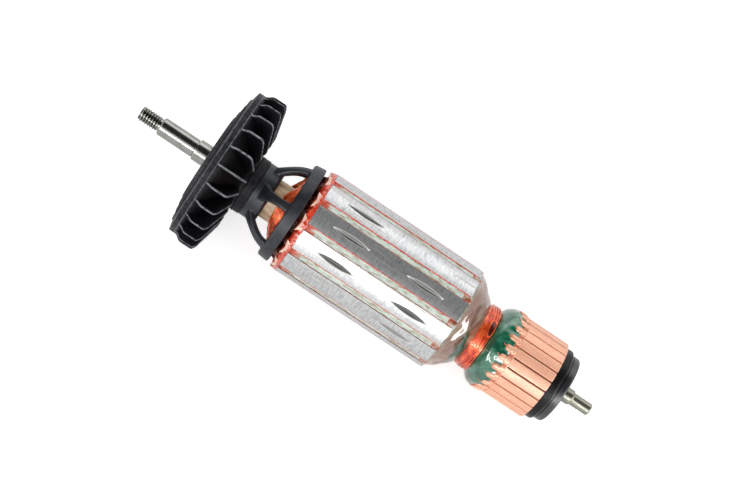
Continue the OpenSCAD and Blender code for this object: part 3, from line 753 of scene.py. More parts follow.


# turned lamination stack: edges of thin sheets, so fine lines run round it; painted shade, a darker
# grey, inside each balance cut, and a painted highlight, a paler matte ring, round its edge
coreSettings = {
    "colour": "#CECFCF", "dull": "#B6B8BA", "speck": "#8F9194", "sheet": 0.5, "bump": 0.000004,
    "metal": 0.74, "coatedMetal": 0.25, "roughness": 0.27, "speckRoughness": 0.03, "cutRoughness": 0.16,
    "cutColour": "#7F807D", "burr": "#C2C2BE", "burrDepth": 0.2, "clear": 0.04,
    "streak": "#ACA498", "streakLevels": (0.57, 0.66), "streakAmount": 0.55,
}


def finishCore(s):
    material, tree, shader = startMaterial("laminationSteel", {"Metallic": s["metal"]})
    # one band of noise for each sheet, drawn out round the core
    sheets = addNode(tree, "TexNoise", {}, {
        "Vector": shaftMapping(tree, (0.35, 0.35, 1 / s["sheet"])), "Scale": 1.3, "Detail": 2.0})
    specks = addNode(tree, "TexNoise", {}, {
        "Vector": shaftMapping(tree, (4.5, 4.5, 3.5)), "Scale": 1.0, "Detail": 3.0, "Roughness": 0.7})
    both = addNode(tree, "Math", "MULTIPLY", {0: sheets, 1: specks})
    tint = addNode(tree, "ValToRGB", {
        "ramp": [(0.1, s["speck"]), (0.2, s["dull"]), (0.32, s["colour"])]}, {"Fac": both})
    # depth under the turned surface, in millimetres
    depth = addNode(tree, "Math", "SUBTRACT", {0: coreR, 1: shaftRadius(tree)})
    # painted highlight on the rim of each balance cut, painted shade deeper in it
    inRimAndCut = addNode(tree, "Math", "GREATER_THAN", {0: depth, 1: s["clear"]})
    inCut = addNode(tree, "Math", "GREATER_THAN", {0: depth, 1: s["burrDepth"]})
    onCutRim = addNode(tree, "Math", "SUBTRACT", {0: inRimAndCut, 1: inCut})
    # thin streaks of dried varnish run along the teeth
    streaks = addNode(tree, "TexNoise", {}, {
        "Vector": shaftMapping(tree, (1.1, 1.1, 0.045)), "Scale": 1.0, "Detail": 2.0, "Roughness": 0.6})
    streak = addNode(tree, "MapRange", {}, {
        "Value": streaks, "From Min": s["streakLevels"][0], "From Max": s["streakLevels"][1],
        "To Min": 0.0, "To Max": s["streakAmount"]})
    streaked = addNode(tree, "Mix", colours, {"Factor": streak, mixA: tint, mixB: linear(s["streak"])})
    ground = addNode(tree, "Mix", colours, {
        "Factor": inCut, mixA: streaked, mixB: linear(s["cutColour"])})
    rimHighlighted = addNode(tree, "Mix", colours, {"Factor": onCutRim, mixA: ground, mixB: linear(s["burr"])})
    streaksAndRim = addNode(tree, "Math", "MAXIMUM", {0: onCutRim, 1: streak})
    metal = addNode(tree, "MapRange", {}, {
        "Value": streaksAndRim, "To Min": s["metal"], "To Max": s["coatedMetal"]})
    gloss = addNode(tree, "MapRange", {}, {
        "Value": specks, "To Min": s["roughness"], "To Max": s["roughness"] + s["speckRoughness"]})
    rough = addNode(tree, "Math", "MULTIPLY_ADD", {0: inRimAndCut, 1: s["cutRoughness"], 2: gloss})
    bump = addNode(tree, "Bump", {}, {"Strength": 0.5, "Distance": s["bump"], "Height": sheets})
    feed(shader, {"Base Color": rimHighlighted, "Metallic": metal, "Roughness": rough, "Normal": bump})
    refinish("core", material)


finishCore(coreSettings)


# slot wedges: pale fibre strips soaked with varnish, redder towards their ends
wedgeSettings = {
    "colour": "#BDCDBF", "pale": "#DCE5DC", "soaked": "#B29C84", "dark": "#8A6A50", "red": "#C84A28",
    "roughness": 0.38, "redLen": 4.0, "redEdge": (-1.2, 0.8), "raggedBy": 9.0, "raggedFrom": 5.6,
    "rearLess": 2.0, "bump": 0.00008,
}


def finishWedges(s):
    material, tree, shader = startMaterial("varnishedFibre", {
        "Roughness": s["roughness"], "IOR": 1.5, "Coat Weight": 0.5, "Coat Roughness": 0.12})
    _, tint = cloudyTint(tree, (1.3, 1.3, 0.4), {"Detail": 5.0, "Roughness": 0.58}, [
        (0.27, s["dark"]), (0.38, s["soaked"]), (0.47, s["colour"]), (0.6, s["pale"])])
    patches = addNode(tree, "TexNoise", {}, {
        "Vector": shaftMapping(tree, (0.7, 0.7, 0.5)), "Scale": 1.0, "Detail": 5.0, "Roughness": 0.65})
    # distance from the nearer end of the core, broken up by the patches; less is soaked at the rear
    z = shaftStation(tree)
    toRear = addNode(tree, "Math", "SUBTRACT", {0: coreZ[1] + s["rearLess"], 1: z})
    toEnd = addNode(tree, "Math", "MINIMUM", {0: z, 1: toRear})
    ragged = addNode(tree, "Math", "MULTIPLY_ADD", {0: patches, 1: -s["raggedBy"], 2: s["raggedFrom"]})
    edge = addNode(tree, "Math", "ADD", {0: toEnd, 1: ragged})
    redness = addNode(tree, "MapRange", {}, {
        "Value": edge, "From Min": s["redLen"] + s["redEdge"][0],
        "From Max": s["redLen"] + s["redEdge"][1], "To Min": 1.0, "To Max": 0.0})
    mixed = addNode(tree, "Mix", colours, {"Factor": redness, mixA: tint, mixB: linear(s["red"])})
    bump = addNode(tree, "Bump", {}, {"Strength": 0.6, "Distance": s["bump"], "Height": patches})
    feed(shader, {"Base Color": mixed, "Normal": bump})
    for i in range(1, 13):
        refinish(f"slot_wedge_{i:02d}", material)


finishWedges(wedgeSettings)
print("core and wedges finished")


# enamelled copper wire: clear orange-red enamel over bright copper, glossy, with painted shade at the
# foot of the winding
enamelSettings = {
    # foot is the painted shade colour at the winding's foot
    "bright": "#FF8C44", "middle": "#F05C22", "deep": "#9C2C12", "foot": "#35100A", "roughness": 0.3,
    "metallic": 0.45, "coat": 0.5, "footEnds": (4.6, 3.6), "footDark": 0.9,
}


def makeEnamel(name, s):
    material, tree, shader = startMaterial(name, {
        "Roughness": s["roughness"], "Metallic": s["metallic"], "Coat Weight": s["coat"],
        "Coat Roughness": 0.08, "Coat IOR": 1.55})
    _, tint = cloudyTint(tree, (0.45, 0.45, 0.8), {"Detail": 4.0, "Roughness": 0.6},
                         [(0.37, s["deep"]), (0.5, s["middle"]), (0.63, s["bright"])])
    # painted shade: the colour darkens towards the foot colour at the foot of the winding, next to the
    # end plate, where the gap lies in shadow
    z = shaftStation(tree)
    foot = addNode(tree, "MapRange", {}, {
        "Value": z, "From Min": coreZ[0] - s["footEnds"][0], "From Max": coreZ[0] - s["footEnds"][1],
        "To Min": 0.0, "To Max": s["footDark"]})
    before = addNode(tree, "Math", "LESS_THAN", {0: z, 1: coreZ[0]})
    share = addNode(tree, "Math", "MULTIPLY", {0: foot, 1: before})
    mixed = addNode(tree, "Mix", colours, {"Factor": share, mixA: tint, mixB: linear(s["foot"])})
    feed(shader, {"Base Color": mixed})
    return material


enamel = makeEnamel("enamelledCopper", enamelSettings)


# lap winding: each coil is a bundle of closed wire loops. A loop runs up one slot, turns over
# the head on its own level, comes back down the slot five further on and turns again at the
# other head: radius and height follow 1 - |2t - 1|^turnPower between the slots
coilSettings = {
    "wires": 12, "wireR": 0.33, "span": 5, "pairs": 6, "turnStations": 44, "sideStations": 6,
    "lowR": 10.7, "highR": 12.8, "columns": 3, "rowGap": 0.68, "columnGap": 0.72,
    "frontOut": 2.0, "rearOut": 1.2, "turnPower": 3.2, "swing": 0.75, "loose": 0.12, "dip": 0.35,
    "wave": 0.1, "headInner": 7.15, "headOuter": 13.1,
    "frontStart": 3.7, "frontRise": 1.15, "frontSlope": 0.5,
    "rearInner": 7.2, "rearOuter": 10.3, "rearStart": 1.8, "rearRise": 0.62, "seed": 4,
}


def coilPaths(s, i, draw):
    j = i // 2
    a = j + (i % 2) * s["pairs"]
    angleA = slotAngles[a]
    turnAngle = math.radians(360 / len(slotAngles) * s["span"])
    n = s["wires"]
    k = np.arange(n)
    row, column = k // s["columns"], k % s["columns"] - 1
    lowest = [s["highR"] if j == s["pairs"] - 1 else s["lowR"], s["highR"] if j > 0 else s["lowR"]]
    slotR = [(low + row * s["rowGap"])[:, None] for low in lowest]
    shift = [(column * s["columnGap"])[:, None] / r for r in slotR]
    headShare = (k / (n - 1))[:, None]
    wander = draw.uniform(-1, 1, (4, n, 1))
    t = np.linspace(0, 1, s["turnStations"])[None, :]
    swing = t - np.sin(2 * math.pi * t) / (2 * math.pi) * s["swing"]
    plateau = 1 - np.abs(2 * t - 1) ** s["turnPower"]
    dip = np.sin(math.pi * t) ** 2

    def turn(headR, topZ, slotZ, startShift, endShift, startR, endR):
        base = startR + (endR - startR) * t
        r = base + (headR + s["loose"] * wander[0] - base) * plateau - s["dip"] * dip * headShare
        r = r + s["wave"] * np.sin(2 * math.pi * (t * 2 + wander[1]))
        z = slotZ + (topZ - slotZ) * plateau + s["wave"] * np.sin(2 * math.pi * (t * 1.5 + wander[2]))
        angle = angleA + startShift + (turnAngle + endShift - startShift) * swing
        return cylindrical(r, angle, z)

    frontTop = -s["frontStart"] - (j + 0.5) * s["frontRise"] * (1 - s["frontSlope"] * headShare)
    frontR = s["headInner"] + (s["headOuter"] - s["headInner"]) * headShare
    rearTop = coreZ[1] + s["rearStart"] + (j + 0.5) * s["rearRise"] + 0 * headShare
    rearR = s["rearInner"] + (s["rearOuter"] - s["rearInner"]) * headShare
    front = turn(frontR, frontTop, -s["frontOut"], shift[0], shift[1], slotR[0], slotR[1])
    rear = turn(rearR, rearTop, coreZ[1] + s["rearOut"], shift[0], shift[1], slotR[0], slotR[1])
    u = np.linspace(0, 1, s["sideStations"] + 2)[None, 1:-1]
    lengthwise = -s["frontOut"] + (coreZ[1] + (s["frontOut"] + s["rearOut"])) * u + 0 * headShare
    there = cylindrical(slotR[1] + 0 * lengthwise, angleA + turnAngle + shift[1], lengthwise)
    back = cylindrical(slotR[0] + 0 * lengthwise, angleA + shift[0], lengthwise[:, ::-1])
    return np.concatenate([front, there, rear[:, ::-1], back], 1)


def makeCoils(s):
    draw = np.random.default_rng(s["seed"])
    for i in range(2 * s["pairs"]):
        paths = coilPaths(s, i, draw)
        addPiece(f"coil_wires_{i + 1:02d}", [tubes(paths, s["wireR"], 7)], enamel,
                 [f"coil_{i + 1:02d}"], 180)


makeCoils(coilSettings)
print("coils wound")


# red impregnating resin: glossy, thick in the corners, mottled from deep red to bright
redSettings = {
    "bright": "#EA5632", "middle": "#DC3E20", "deep": "#A52A14", "roughness": 0.14, "bump": 0.0002,
}


def makeRedResin(name, s):
    material, tree, shader = startMaterial(name, {
        "Roughness": s["roughness"], "IOR": 1.52, "Coat Weight": 0.8, "Coat Roughness": 0.04,
        "Subsurface Weight": 0.15, "Subsurface Radius": (1.0, 0.25, 0.1), "Subsurface Scale": 0.0006})
    clouds, tint = cloudyTint(tree, (0.8,) * 3, {"Detail": 4.0, "Roughness": 0.6},
                              [(0.36, s["deep"]), (0.48, s["middle"]), (0.62, s["bright"])])
    bump = addNode(tree, "Bump", {}, {"Strength": 0.5, "Distance": s["bump"], "Height": clouds})
    feed(shader, {"Base Color": tint, "Normal": bump})
    return material


redResin = makeRedResin("redVarnish", redSettings)


# resin-soaked end plate at each end: the fan's end bulges in lumps, the other is under the cap
plateSettings = {
    "columns": 540, "boreR": 9.4, "rearR": 16.2, "rearInside": 0.1, "rearEdge": 0.2,
    "front": [(0.3, 9.4), (0.3, 16.9), (0.02, 17.32), (-0.5, 17.42), (-1.2, 17.2), (-1.8, 16.6),
              (-2.2, 15.6), (-2.35, 14.0), (-2.2, 11.5), (-1.0, 9.4)], "frontEdge": 0.5,
    "lumpFrom": 0.12, "lumpOver": 0.5, "lumpR": 13, "lumpOverR": 2, "lumps": 0.17, "knobs": 0.6,
    "lump": {"seed": 3, "waves": 14, "mostTurns": 70, "longest": 7.0},
    "knob": {"seed": 4, "waves": 10, "mostTurns": 30, "longest": 7.0},
    "notchFrom": 1.2, "notchOver": 0.8, "notchLevel": 0.3, "notchDepth": 0.5,
    "notch": {"seed": 6, "waves": 10, "mostTurns": 60, "longest": 30.0},
}


def makeEndPlates(s):
    angle = fullTurn(s["columns"])[None, :]
    front = rounded([(coreZ[0] + z, r) for z, r in s["front"]], s["frontEdge"], 5, closed=True)
    z, r = front[:, :1], front[:, 1:]
    free = rampUp(coreZ[0] - s["lumpFrom"] - z, s["lumpOver"]) * rampUp(r - s["lumpR"], s["lumpOverR"])
    lump = ripple(angle, z, **s["lump"]) + s["knobs"] * ripple(angle, z, **s["knob"])
    notch = np.clip(ripple(angle, z, **s["notch"]) - s["notchLevel"], 0, 1)
    notch = notch * rampUp(coreZ[0] - s["notchFrom"] - z, s["notchOver"])
    pull = s["notchDepth"] * free * notch
    fanEnd = cylindrical(r + free * s["lumps"] * lump - pull, angle, z + pull)
    rear = plateZ[1] - s["rearInside"]
    disc = rounded([(coreZ[1], s["boreR"]), (coreZ[1], s["rearR"]), (rear, s["rearR"]),
                    (rear, s["boreR"])], s["rearEdge"], 3, closed=True)
    addPiece("resin_end_plates", [shells(fanEnd[None], wrapRows=True), turned(disc, 144, closed=True)],
             redResin, ["end_plates"], 180)


makeEndPlates(plateSettings)


# varnish beads along every wedge: one edge thick and bright with drips, the other thin and dark
beadSettings = {
    "rows": 190, "offset": 1.12, "sway": 0.05, "spread": 0.25, "proud": 0.045, "seed": 8, "sides": 7,
    "start": 0.2, "end": 0.3, "endLen": 1.2, "endSwell": 0.35, "leastTaper": 0.15, "sizes": (0.05, 0.5),
    "thick": 0.23, "thin": 0.11, "uneven": 0.4, "waves": (0.45, 1.1, 2.3, 4.7), "waveSum": 2.6,
    "drips": 9, "drip": 0.1, "dripLen": (0.12, 0.5),
    "brown": {"bright": "#B9512F", "middle": "#8A3018", "deep": "#4A1A10"},
}


def makeBeads(s, name, edge, base, material):
    draw = np.random.default_rng(s["seed"] + edge)
    z = np.linspace(coreZ[0] - s["start"], coreZ[1] - s["end"], s["rows"])[None, :]
    paths, sizes = [], []
    for angle in slotAngles:
        wave = sum(np.sin(z * f + draw.uniform(*anyPhase)) for f in s["waves"]) / s["waveSum"]
        drips = sum(np.exp(-((z - draw.uniform(0, coreZ[1])) / draw.uniform(*s["dripLen"])) ** 2)
                    for _ in range(s["drips"]))
        ends = np.exp(-((z - coreZ[0]) / s["endLen"]) ** 2)
        taper = np.clip((coreZ[1] - s["end"] - z) / s["endLen"], s["leastTaper"], 1) ** 0.5
        size = base * (1 + s["uneven"] * wave + s["endSwell"] * ends)
        size = np.clip((size + s["drip"] * drips * base / s["thick"]) * taper, *s["sizes"])
        across = edge * (s["offset"] + s["sway"] * wave - s["spread"] * (size - base))
        r = coreR + s["proud"] - size  # held down to the turned surface
        paths.append(cylindrical(r, angle + across / r, z)[0])
        sizes.append(size[0])
    part = tubes(np.array(paths), np.array(sizes), s["sides"], closed=False)
    addPiece(name, [part], material, (), 180)


makeBeads(beadSettings, "slot_varnish_bright", -1, beadSettings["thick"], redResin)
makeBeads(beadSettings, "slot_varnish_dark", 1, beadSettings["thin"],
          makeRedResin("brownVarnish", dict(redSettings, **beadSettings["brown"])))
print("resin laid")


# slot liners: film in every slot, and at the fan's end a flap like a fish's tail laid over the
# resin; the film is pale where it is clean and red where resin has soaked it
linerSettings = {
    "clean": "#F0C2AE", "soaked": "#E8643E", "deep": "#B23A22", "roughness": 0.3,
    "soakedEnds": (1.6, 0.2), "soakedLevels": (0.36, -0.12),  # paler towards the first of the ends
    "thick": 0.28, "front": 1.5, "rear": 0.6, "rowsBetween": (-0.8, 2.0, 27.0), "lastRow": 2,
    "halfSlot": 1.32, "bottomShare": 0.16, "outerR": 16.7, "innerR": 10.2,
    "flapR": 17.28, "flapStart": 0.5, "flapEnd": -1.75, "neck": 1.35, "tail": 2.9, "widening": 1.3,
    "uneven": 0.16, "skew": 0.35, "tipReach": 0.8, "tipCurve": 2.4, "tipMiddle": 0.3, "tipUneven": 0.3,
    "tears": 5, "tearWaves": (5, 22), "tearSum": 2.2, "tear": 0.16, "tearDip": 0.12, "arch": 0.12,
    "curl": 0.18, "neckDip": 0.14, "underEnd": 0.06, "seed": 21,
}


def makeFilm(s):
    material, tree, shader = startMaterial("soakedFilm", {
        "Roughness": s["roughness"], "IOR": 1.55, "Coat Weight": 0.7, "Coat Roughness": 0.06,
        "Subsurface Weight": 0.2, "Subsurface Radius": (1.0, 0.5, 0.3), "Subsurface Scale": 0.0006})
    clouds = addNode(tree, "TexNoise", {}, {
        "Vector": shaftMapping(tree, (1.3, 1.3, 1.3)), "Scale": 1.0, "Detail": 3.0, "Roughness": 0.6})
    z = shaftStation(tree)
    byPlace = addNode(tree, "MapRange", {}, {
        "Value": z, "From Min": coreZ[0] - s["soakedEnds"][0],
        "From Max": coreZ[0] - s["soakedEnds"][1], "To Min": s["soakedLevels"][0],
        "To Max": s["soakedLevels"][1]})
    level = addNode(tree, "Math", "ADD", {0: clouds, 1: byPlace})
    tint = addNode(tree, "ValToRGB", {
        "ramp": [(0.3, s["deep"]), (0.5, s["soaked"]), (0.7, s["clean"])]}, {"Fac": level})
    feed(shader, {"Base Color": tint})
    return material


def makeLiners(s):
    # a U across the slot: up one wall, round the bottom, down the other; v runs along the slot
    draw = np.random.default_rng(s["seed"])
    v = np.array([-s["front"], *s["rowsBetween"], coreZ[1] - s["lastRow"],
                  coreZ[1] + s["rear"]])[:, None]
    u = np.linspace(-1, 1, 41)[None, :]
    share = s["bottomShare"]
    wall = rampUp(np.abs(u) - share, 1 - share)  # 0 on the bottom, 1 at the free edge of a wall
    acrossBottom = np.clip(u / share, -1, 1)
    sheets = []
    for skin in (0.0, s["thick"]):
        across = acrossBottom * (s["halfSlot"] - skin)
        r = s["innerR"] + skin * (1 - wall) + wall * (s["outerR"] - s["innerR"])
        sheets.append(np.stack(np.broadcast_arrays(r, across, v), -1))
    trough = np.concatenate([sheets[0], sheets[1][:, ::-1]], 1)
    c, d = np.cos(slotAngles)[:, None, None], np.sin(slotAngles)[:, None, None]
    troughs = np.stack([trough[..., 0] * c - trough[..., 1] * d,
                        trough[..., 0] * d + trough[..., 1] * c, trough[..., 2] + 0 * c], -1)

    # the flap: w from its neck under the wedge to its torn end, u across it
    w = np.linspace(0, 1, 12)[:, None]
    u = np.linspace(-1, 1, 25)[None, :]
    flaps = []
    for angle in slotAngles:
        skew, left, right, curl = draw.uniform(-1, 1, 4)
        sides = np.where(u < 0, left, right)
        half = s["neck"] + (s["tail"] - s["neck"]) * w ** s["widening"] * (1 + s["uneven"] * sides)
        torn = sum(draw.uniform(0.2, 1)
                   * np.sin(u * draw.uniform(*s["tearWaves"]) + draw.uniform(*anyPhase))
                   for _ in range(s["tears"])) / s["tearSum"]
        tip = s["tipReach"] * (np.abs(u) ** s["tipCurve"] - s["tipMiddle"])
        reach = s["flapEnd"] - tip * (1 + s["tipUneven"] * sides) - s["tear"] * torn
        z = coreZ[0] + s["flapStart"] + (reach - s["flapStart"]) * w
        across = half * u + s["skew"] * skew * w
        lift = w ** 2 * (s["curl"] * np.abs(u) ** 2 * curl - s["tearDip"] * torn)
        r = s["flapR"] + s["arch"] * np.sin(math.pi * w) + lift - s["neckDip"] * (1 - w)
        top = cylindrical(r, angle + across / r, z)
        under = cylindrical(r - s["thick"], angle + across / r, z + s["underEnd"] * w)
        flaps.append(np.concatenate([top, under[:, ::-1]], 1))
    addPiece("liner_film_sheets", [shells(troughs), shells(np.array(flaps))], makeFilm(s),
             ["slot_liners"], 60)


makeLiners(linerSettings)
print("liners folded")


# clear resin over the rear winding: brown and mauve from the coils beneath, glossy, with
# swirls of amber and a greener rim; the bundles under it raise slanting ridges
capSettings = {
    "columns": 360, "rows": 70, "shoulderRows": 8, "startR": 17.2, "gap": 0.03, "shoulderPower": 1.6,
    "waistInside": 0.3, "fall": (0.63, 0.37), "fadeIn": 3.0, "fadeOut": 2.0,
    "bundles": 6, "ridge": 0.3, "ridgeMiddle": 0.8, "ridgeBlend": 3, "slant": 0.16, "crossing": 1.3,
    "lumps": 0.1, "lump": {"seed": 11, "waves": 9, "mostTurns": 6, "longest": 16.0},
    "knobs": 0.05, "knob": {"seed": 12, "waves": 9, "mostTurns": 20, "longest": 9.0},
    "brown": "#7E4F3C", "mauve": "#94705F", "pale": "#B5A595", "roughness": 0.17, "coatRoughness": 0.08,
    "amber": "#8A5028", "olive": "#A08E68", "pools": 0.8, "poolLevels": (0.36, 0.47),
    "outline": (0.32, 0.42),
    "green": "#94AA97", "rimEnds": (0.3, 1.5), "rimShare": 0.6, "rimPatches": (0.46, 0.54),
    "rimLeast": 0.1,
    "waist": "#14503A", "waistEnds": (2.6, 1.4), "waistWaves": 3.0, "waistShare": 0.95,
    "creepAngle": -108.0, "creepReach": (8.5, 9.5),
    "lap": {"station": -0.95, "halfLen": 1.65, "halfWide": 1.42, "down": 0.5, "proud": 0.06},
    "lapUneven": 0.15, "seed": 14,
    "stain": {"bright": "#9CB4A2", "middle": "#B86A4C", "deep": "#7C3A22"},
}


def makeCapResin(s):
    material, tree, shader = startMaterial("clearResin", {
        "Roughness": s["roughness"], "IOR": 1.54, "Coat Weight": 1.0,
        "Coat Roughness": s["coatRoughness"]})
    place = shaftMapping(tree)
    # colours flow slantwise round the head: twist the pattern by the station before the noise
    z = addNode(tree, "SeparateXYZ", {}, {0: place}).outputs["Z"]
    twist = addNode(tree, "Math", "MULTIPLY", {0: z, 1: s["slant"]})
    twisted = addNode(tree, "VectorRotate", {"rotation_type": "Z_AXIS"}, {
        "Vector": place, "Angle": twist})
    broad = addNode(tree, "TexNoise", {}, {
        "Vector": twisted, "Scale": 0.14, "Detail": 2.0, "Roughness": 0.45})
    ground = addNode(tree, "ValToRGB", {
        "ramp": [(0.35, s["brown"]), (0.5, s["mauve"]), (0.62, s["brown"]), (0.72, s["pale"])]},
        {"Fac": broad})
    # amber pools with a green outline
    swirl = addNode(tree, "TexNoise", {}, {
        "Vector": place, "Scale": 0.17, "Detail": 1.0, "Distortion": 0.7})
    pool = addNode(tree, "MapRange", {}, {
        "Value": swirl, "From Min": s["poolLevels"][0], "From Max": s["poolLevels"][1],
        "To Min": s["pools"], "To Max": 0.0})
    outlined = addNode(tree, "ValToRGB", {
        "ramp": [(s["outline"][0], s["amber"]), (s["outline"][1], s["olive"])]}, {"Fac": swirl})
    tint = addNode(tree, "Mix", colours, {"Factor": pool, mixA: ground, mixB: outlined})
    # greener at the rim next to the core
    rim = addNode(tree, "MapRange", {}, {
        "Value": z, "From Min": coreZ[1] + s["rimEnds"][0], "From Max": coreZ[1] + s["rimEnds"][1],
        "To Min": s["rimShare"], "To Max": 0.0})
    patches = addNode(tree, "TexNoise", {}, {"Vector": place, "Scale": 0.45, "Detail": 2.0})
    patchy = addNode(tree, "MapRange", {}, {
        "Value": patches, "From Min": s["rimPatches"][0], "From Max": s["rimPatches"][1],
        "To Min": s["rimLeast"], "To Max": 1.0})
    rimShare = addNode(tree, "Math", "MULTIPLY", {0: rim, 1: patchy})
    mixed = addNode(tree, "Mix", colours, {"Factor": rimShare, mixA: tint, mixB: linear(s["green"])})
    # the collar's green has crept past the binding on one side
    waistZ = stations("winding_resin")[1]
    a = math.radians(s["creepAngle"])
    towards = addNode(tree, "VectorMath", "DOT_PRODUCT", {0: place, 1: (math.cos(a), math.sin(a), 0)})
    wavy = addNode(tree, "Math", "MULTIPLY_ADD", {0: patches, 1: s["waistWaves"], 2: z})
    waist = addNode(tree, "MapRange", {}, {
        "Value": wavy, "From Min": waistZ - s["waistEnds"][0], "From Max": waistZ - s["waistEnds"][1],
        "To Min": 0.0, "To Max": 1.0})
    crept = addNode(tree, "MapRange", {}, {
        "Value": towards.outputs["Value"], "From Min": s["creepReach"][0],
        "From Max": s["creepReach"][1], "To Min": 0.0, "To Max": s["waistShare"]})
    waistShare = addNode(tree, "Math", "MULTIPLY", {0: waist, 1: crept})
    mixed = addNode(tree, "Mix", colours, {"Factor": waistShare, mixA: mixed, mixB: linear(s["waist"])})
    feed(shader, {"Base Color": mixed})
    return material


def poured(outer, angle, z):
    # a resin's outer surface, closed by a straight wall near the bore of the moulding inside
    wallDepth = 2.2  # mm from that bore
    inner = np.full_like(outer, radii("commutator_hub")[0] + wallDepth)[[-1, 0]]
    skin = np.concatenate([cylindrical(outer, angle, z), cylindrical(inner, angle, z[[-1, 0]])], 0)
    return shells(skin[None], wrapRows=True)


def makeCap(s):
    # the radius falls from the head to the waist by a u + b u^2, u from 0 to 1
    z0, z1 = stations("winding_resin")
    wideR, waistR = radii("winding_resin")[1], radii("lead_band")[1] - s["waistInside"]
    angle = fullTurn(s["columns"])[None, :]
    u = np.linspace(0, 1, s["rows"])[:, None]
    z = z0 + (z1 - z0) * u
    r = wideR - (wideR - waistR) * (s["fall"][0] * u + s["fall"][1] * u ** 2)
    # shoulder that covers the end plate and closes against the core
    w = np.linspace(0, 1, s["shoulderRows"])[:, None]
    shoulderZ = coreZ[1] + s["gap"] + (z0 - coreZ[1] - s["gap"]) * w
    shoulderR = s["startR"] + (wideR - s["startR"]) * w ** s["shoulderPower"]
    z, r = np.concatenate([shoulderZ[:-1], z]), np.concatenate([shoulderR[:-1], r])
    fade = rampUp(z - coreZ[1], s["fadeIn"]) * rampUp(z1 - z, s["fadeOut"])
    bundle = np.cos(s["bundles"] * (angle + s["slant"] * (z - z0)))
    crossing = np.cos(s["bundles"] * (angle - s["slant"] * (z - z0)) + s["crossing"])
    k = s["ridgeBlend"]  # the higher of the two, blended smoothly: log(e^ka + e^kb) / k
    ridges = np.log(np.exp(k * bundle) + np.exp(k * crossing)) / k
    raised = s["ridge"] * (ridges - s["ridgeMiddle"]) + s["lumps"] * ripple(angle, z, **s["lump"])
    outer = r + fade * raised + s["knobs"] * rampUp(z - coreZ[1], 1.0) * ripple(angle, z, **s["knob"])
    addPiece("winding_cap", [poured(outer, angle, z)], makeCapResin(s),
             ["winding_resin"], 60)
    # a tongue of it laps over the end of every wedge, stained red and brown by the varnish
    lap = s["lap"]
    draw = np.random.default_rng(s["seed"])
    tongues = []
    for angle in slotAngles:
        shift, sideways, longer = s["lapUneven"] * draw.uniform(-1, 1, 3)
        centre = (coreZ[1] + lap["station"] + shift, coreR - lap["down"], sideways)
        reach = (lap["halfLen"] + longer, lap["halfWide"], lap["down"] + lap["proud"])
        tongues.append(lobe(centre, reach, angle))
    addPiece("slot_end_resin", [shells(np.concatenate(tongues))],
             makeRedResin("stainedResin", dict(redSettings, **s["stain"])), (), 180)


makeCap(capSettings)
print("winding cap poured")


# binding at the waist: strands of the same wire wound round side by side, a few laid across
bandSettings = {
    "strands": 15, "strandR": 0.31, "before": 1.4, "wider": 1.7, "sunk": 0.35, "uneven": 0.1,
    "oval": 0.06, "sway": 0.1, "lean": 0.45, "leanFrom": 0.6, "bulge": 0.55,
    "crossers": 4, "crossSway": 1.3, "crossSpread": 0.9, "crossLift": 0.42, "crossOval": 0.12,
    "fillR": 9.62, "fillDeep": 3, "fillBefore": 0.6, "fillEdge": 0.4, "stations": 150, "seed": 31,
    "enamel": {"bright": "#FA7836", "middle": "#EC501C", "deep": "#BC3814", "coat": 0.9},
}


def makeBand(s):
    z0, z1 = stations("lead_band")
    outR = radii("lead_band")[1]
    draw = np.random.default_rng(s["seed"])
    angle = fullTurn(s["stations"])[None, :]
    n = s["strands"]
    share = np.arange(n)[:, None] / (n - 1)
    middle = z0 - s["before"] + (z1 - z0 + s["wider"]) * share
    sway = s["sway"] * np.sin(angle * draw.integers(1, 4, (n, 1)) + draw.uniform(*anyPhase, (n, 1)))
    r = outR - s["sunk"] + s["bulge"] * np.sin(math.pi * share)
    r = r + draw.uniform(-s["uneven"], s["uneven"], (n, 1))
    r = r + s["oval"] * np.sin(2 * angle + draw.uniform(*anyPhase, (n, 1)))
    rounds = cylindrical(r, angle, middle + sway + s["lean"] * np.sin(angle + s["leanFrom"]))
    phase = draw.uniform(*anyPhase, (s["crossers"], 1))
    middle = (z0 + z1) / 2 + draw.uniform(-s["crossSpread"], s["crossSpread"], (s["crossers"], 1))
    across = cylindrical(outR + s["crossLift"] + s["crossOval"] * np.sin(2 * angle + phase), angle,
                         middle + s["crossSway"] * np.sin(angle + phase))
    strands = tubes(np.concatenate([rounds, across]), s["strandR"], 8)
    # a plain collar under the strands, so that nothing shows between them
    start, innerR = z0 - s["fillBefore"], s["fillR"] - s["fillDeep"]
    fill = rounded([(start, innerR), (start, s["fillR"]), (z1, s["fillR"]), (z1, innerR)],
                   s["fillEdge"], 3, closed=True)
    deepOrange = makeEnamel("bindingEnamel", dict(enamelSettings, **s["enamel"]))
    addPiece("waist_binding", [strands, turned(fill, 96, closed=True)], deepOrange,
             ["lead_band"], 180)


makeBand(bandSettings)


# the loose loop in the binding: a strand bent into a long eye, with a dark lobe in it as painted shade
# in the hollow
eyeSettings = {
    "angle": -180.5, "station": 64.5, "halfWide": 2.9, "halfLong": 0.9, "tilt": 0.3, "outR": 11.3,
    "endDrop": 0.02, "strandR": 0.24, "hollowSunk": 0.3, "hollowRise": 0.4,
    "hollow": {"bright": "#6E1A12", "middle": "#5A120E", "deep": "#3A0A08"},
}


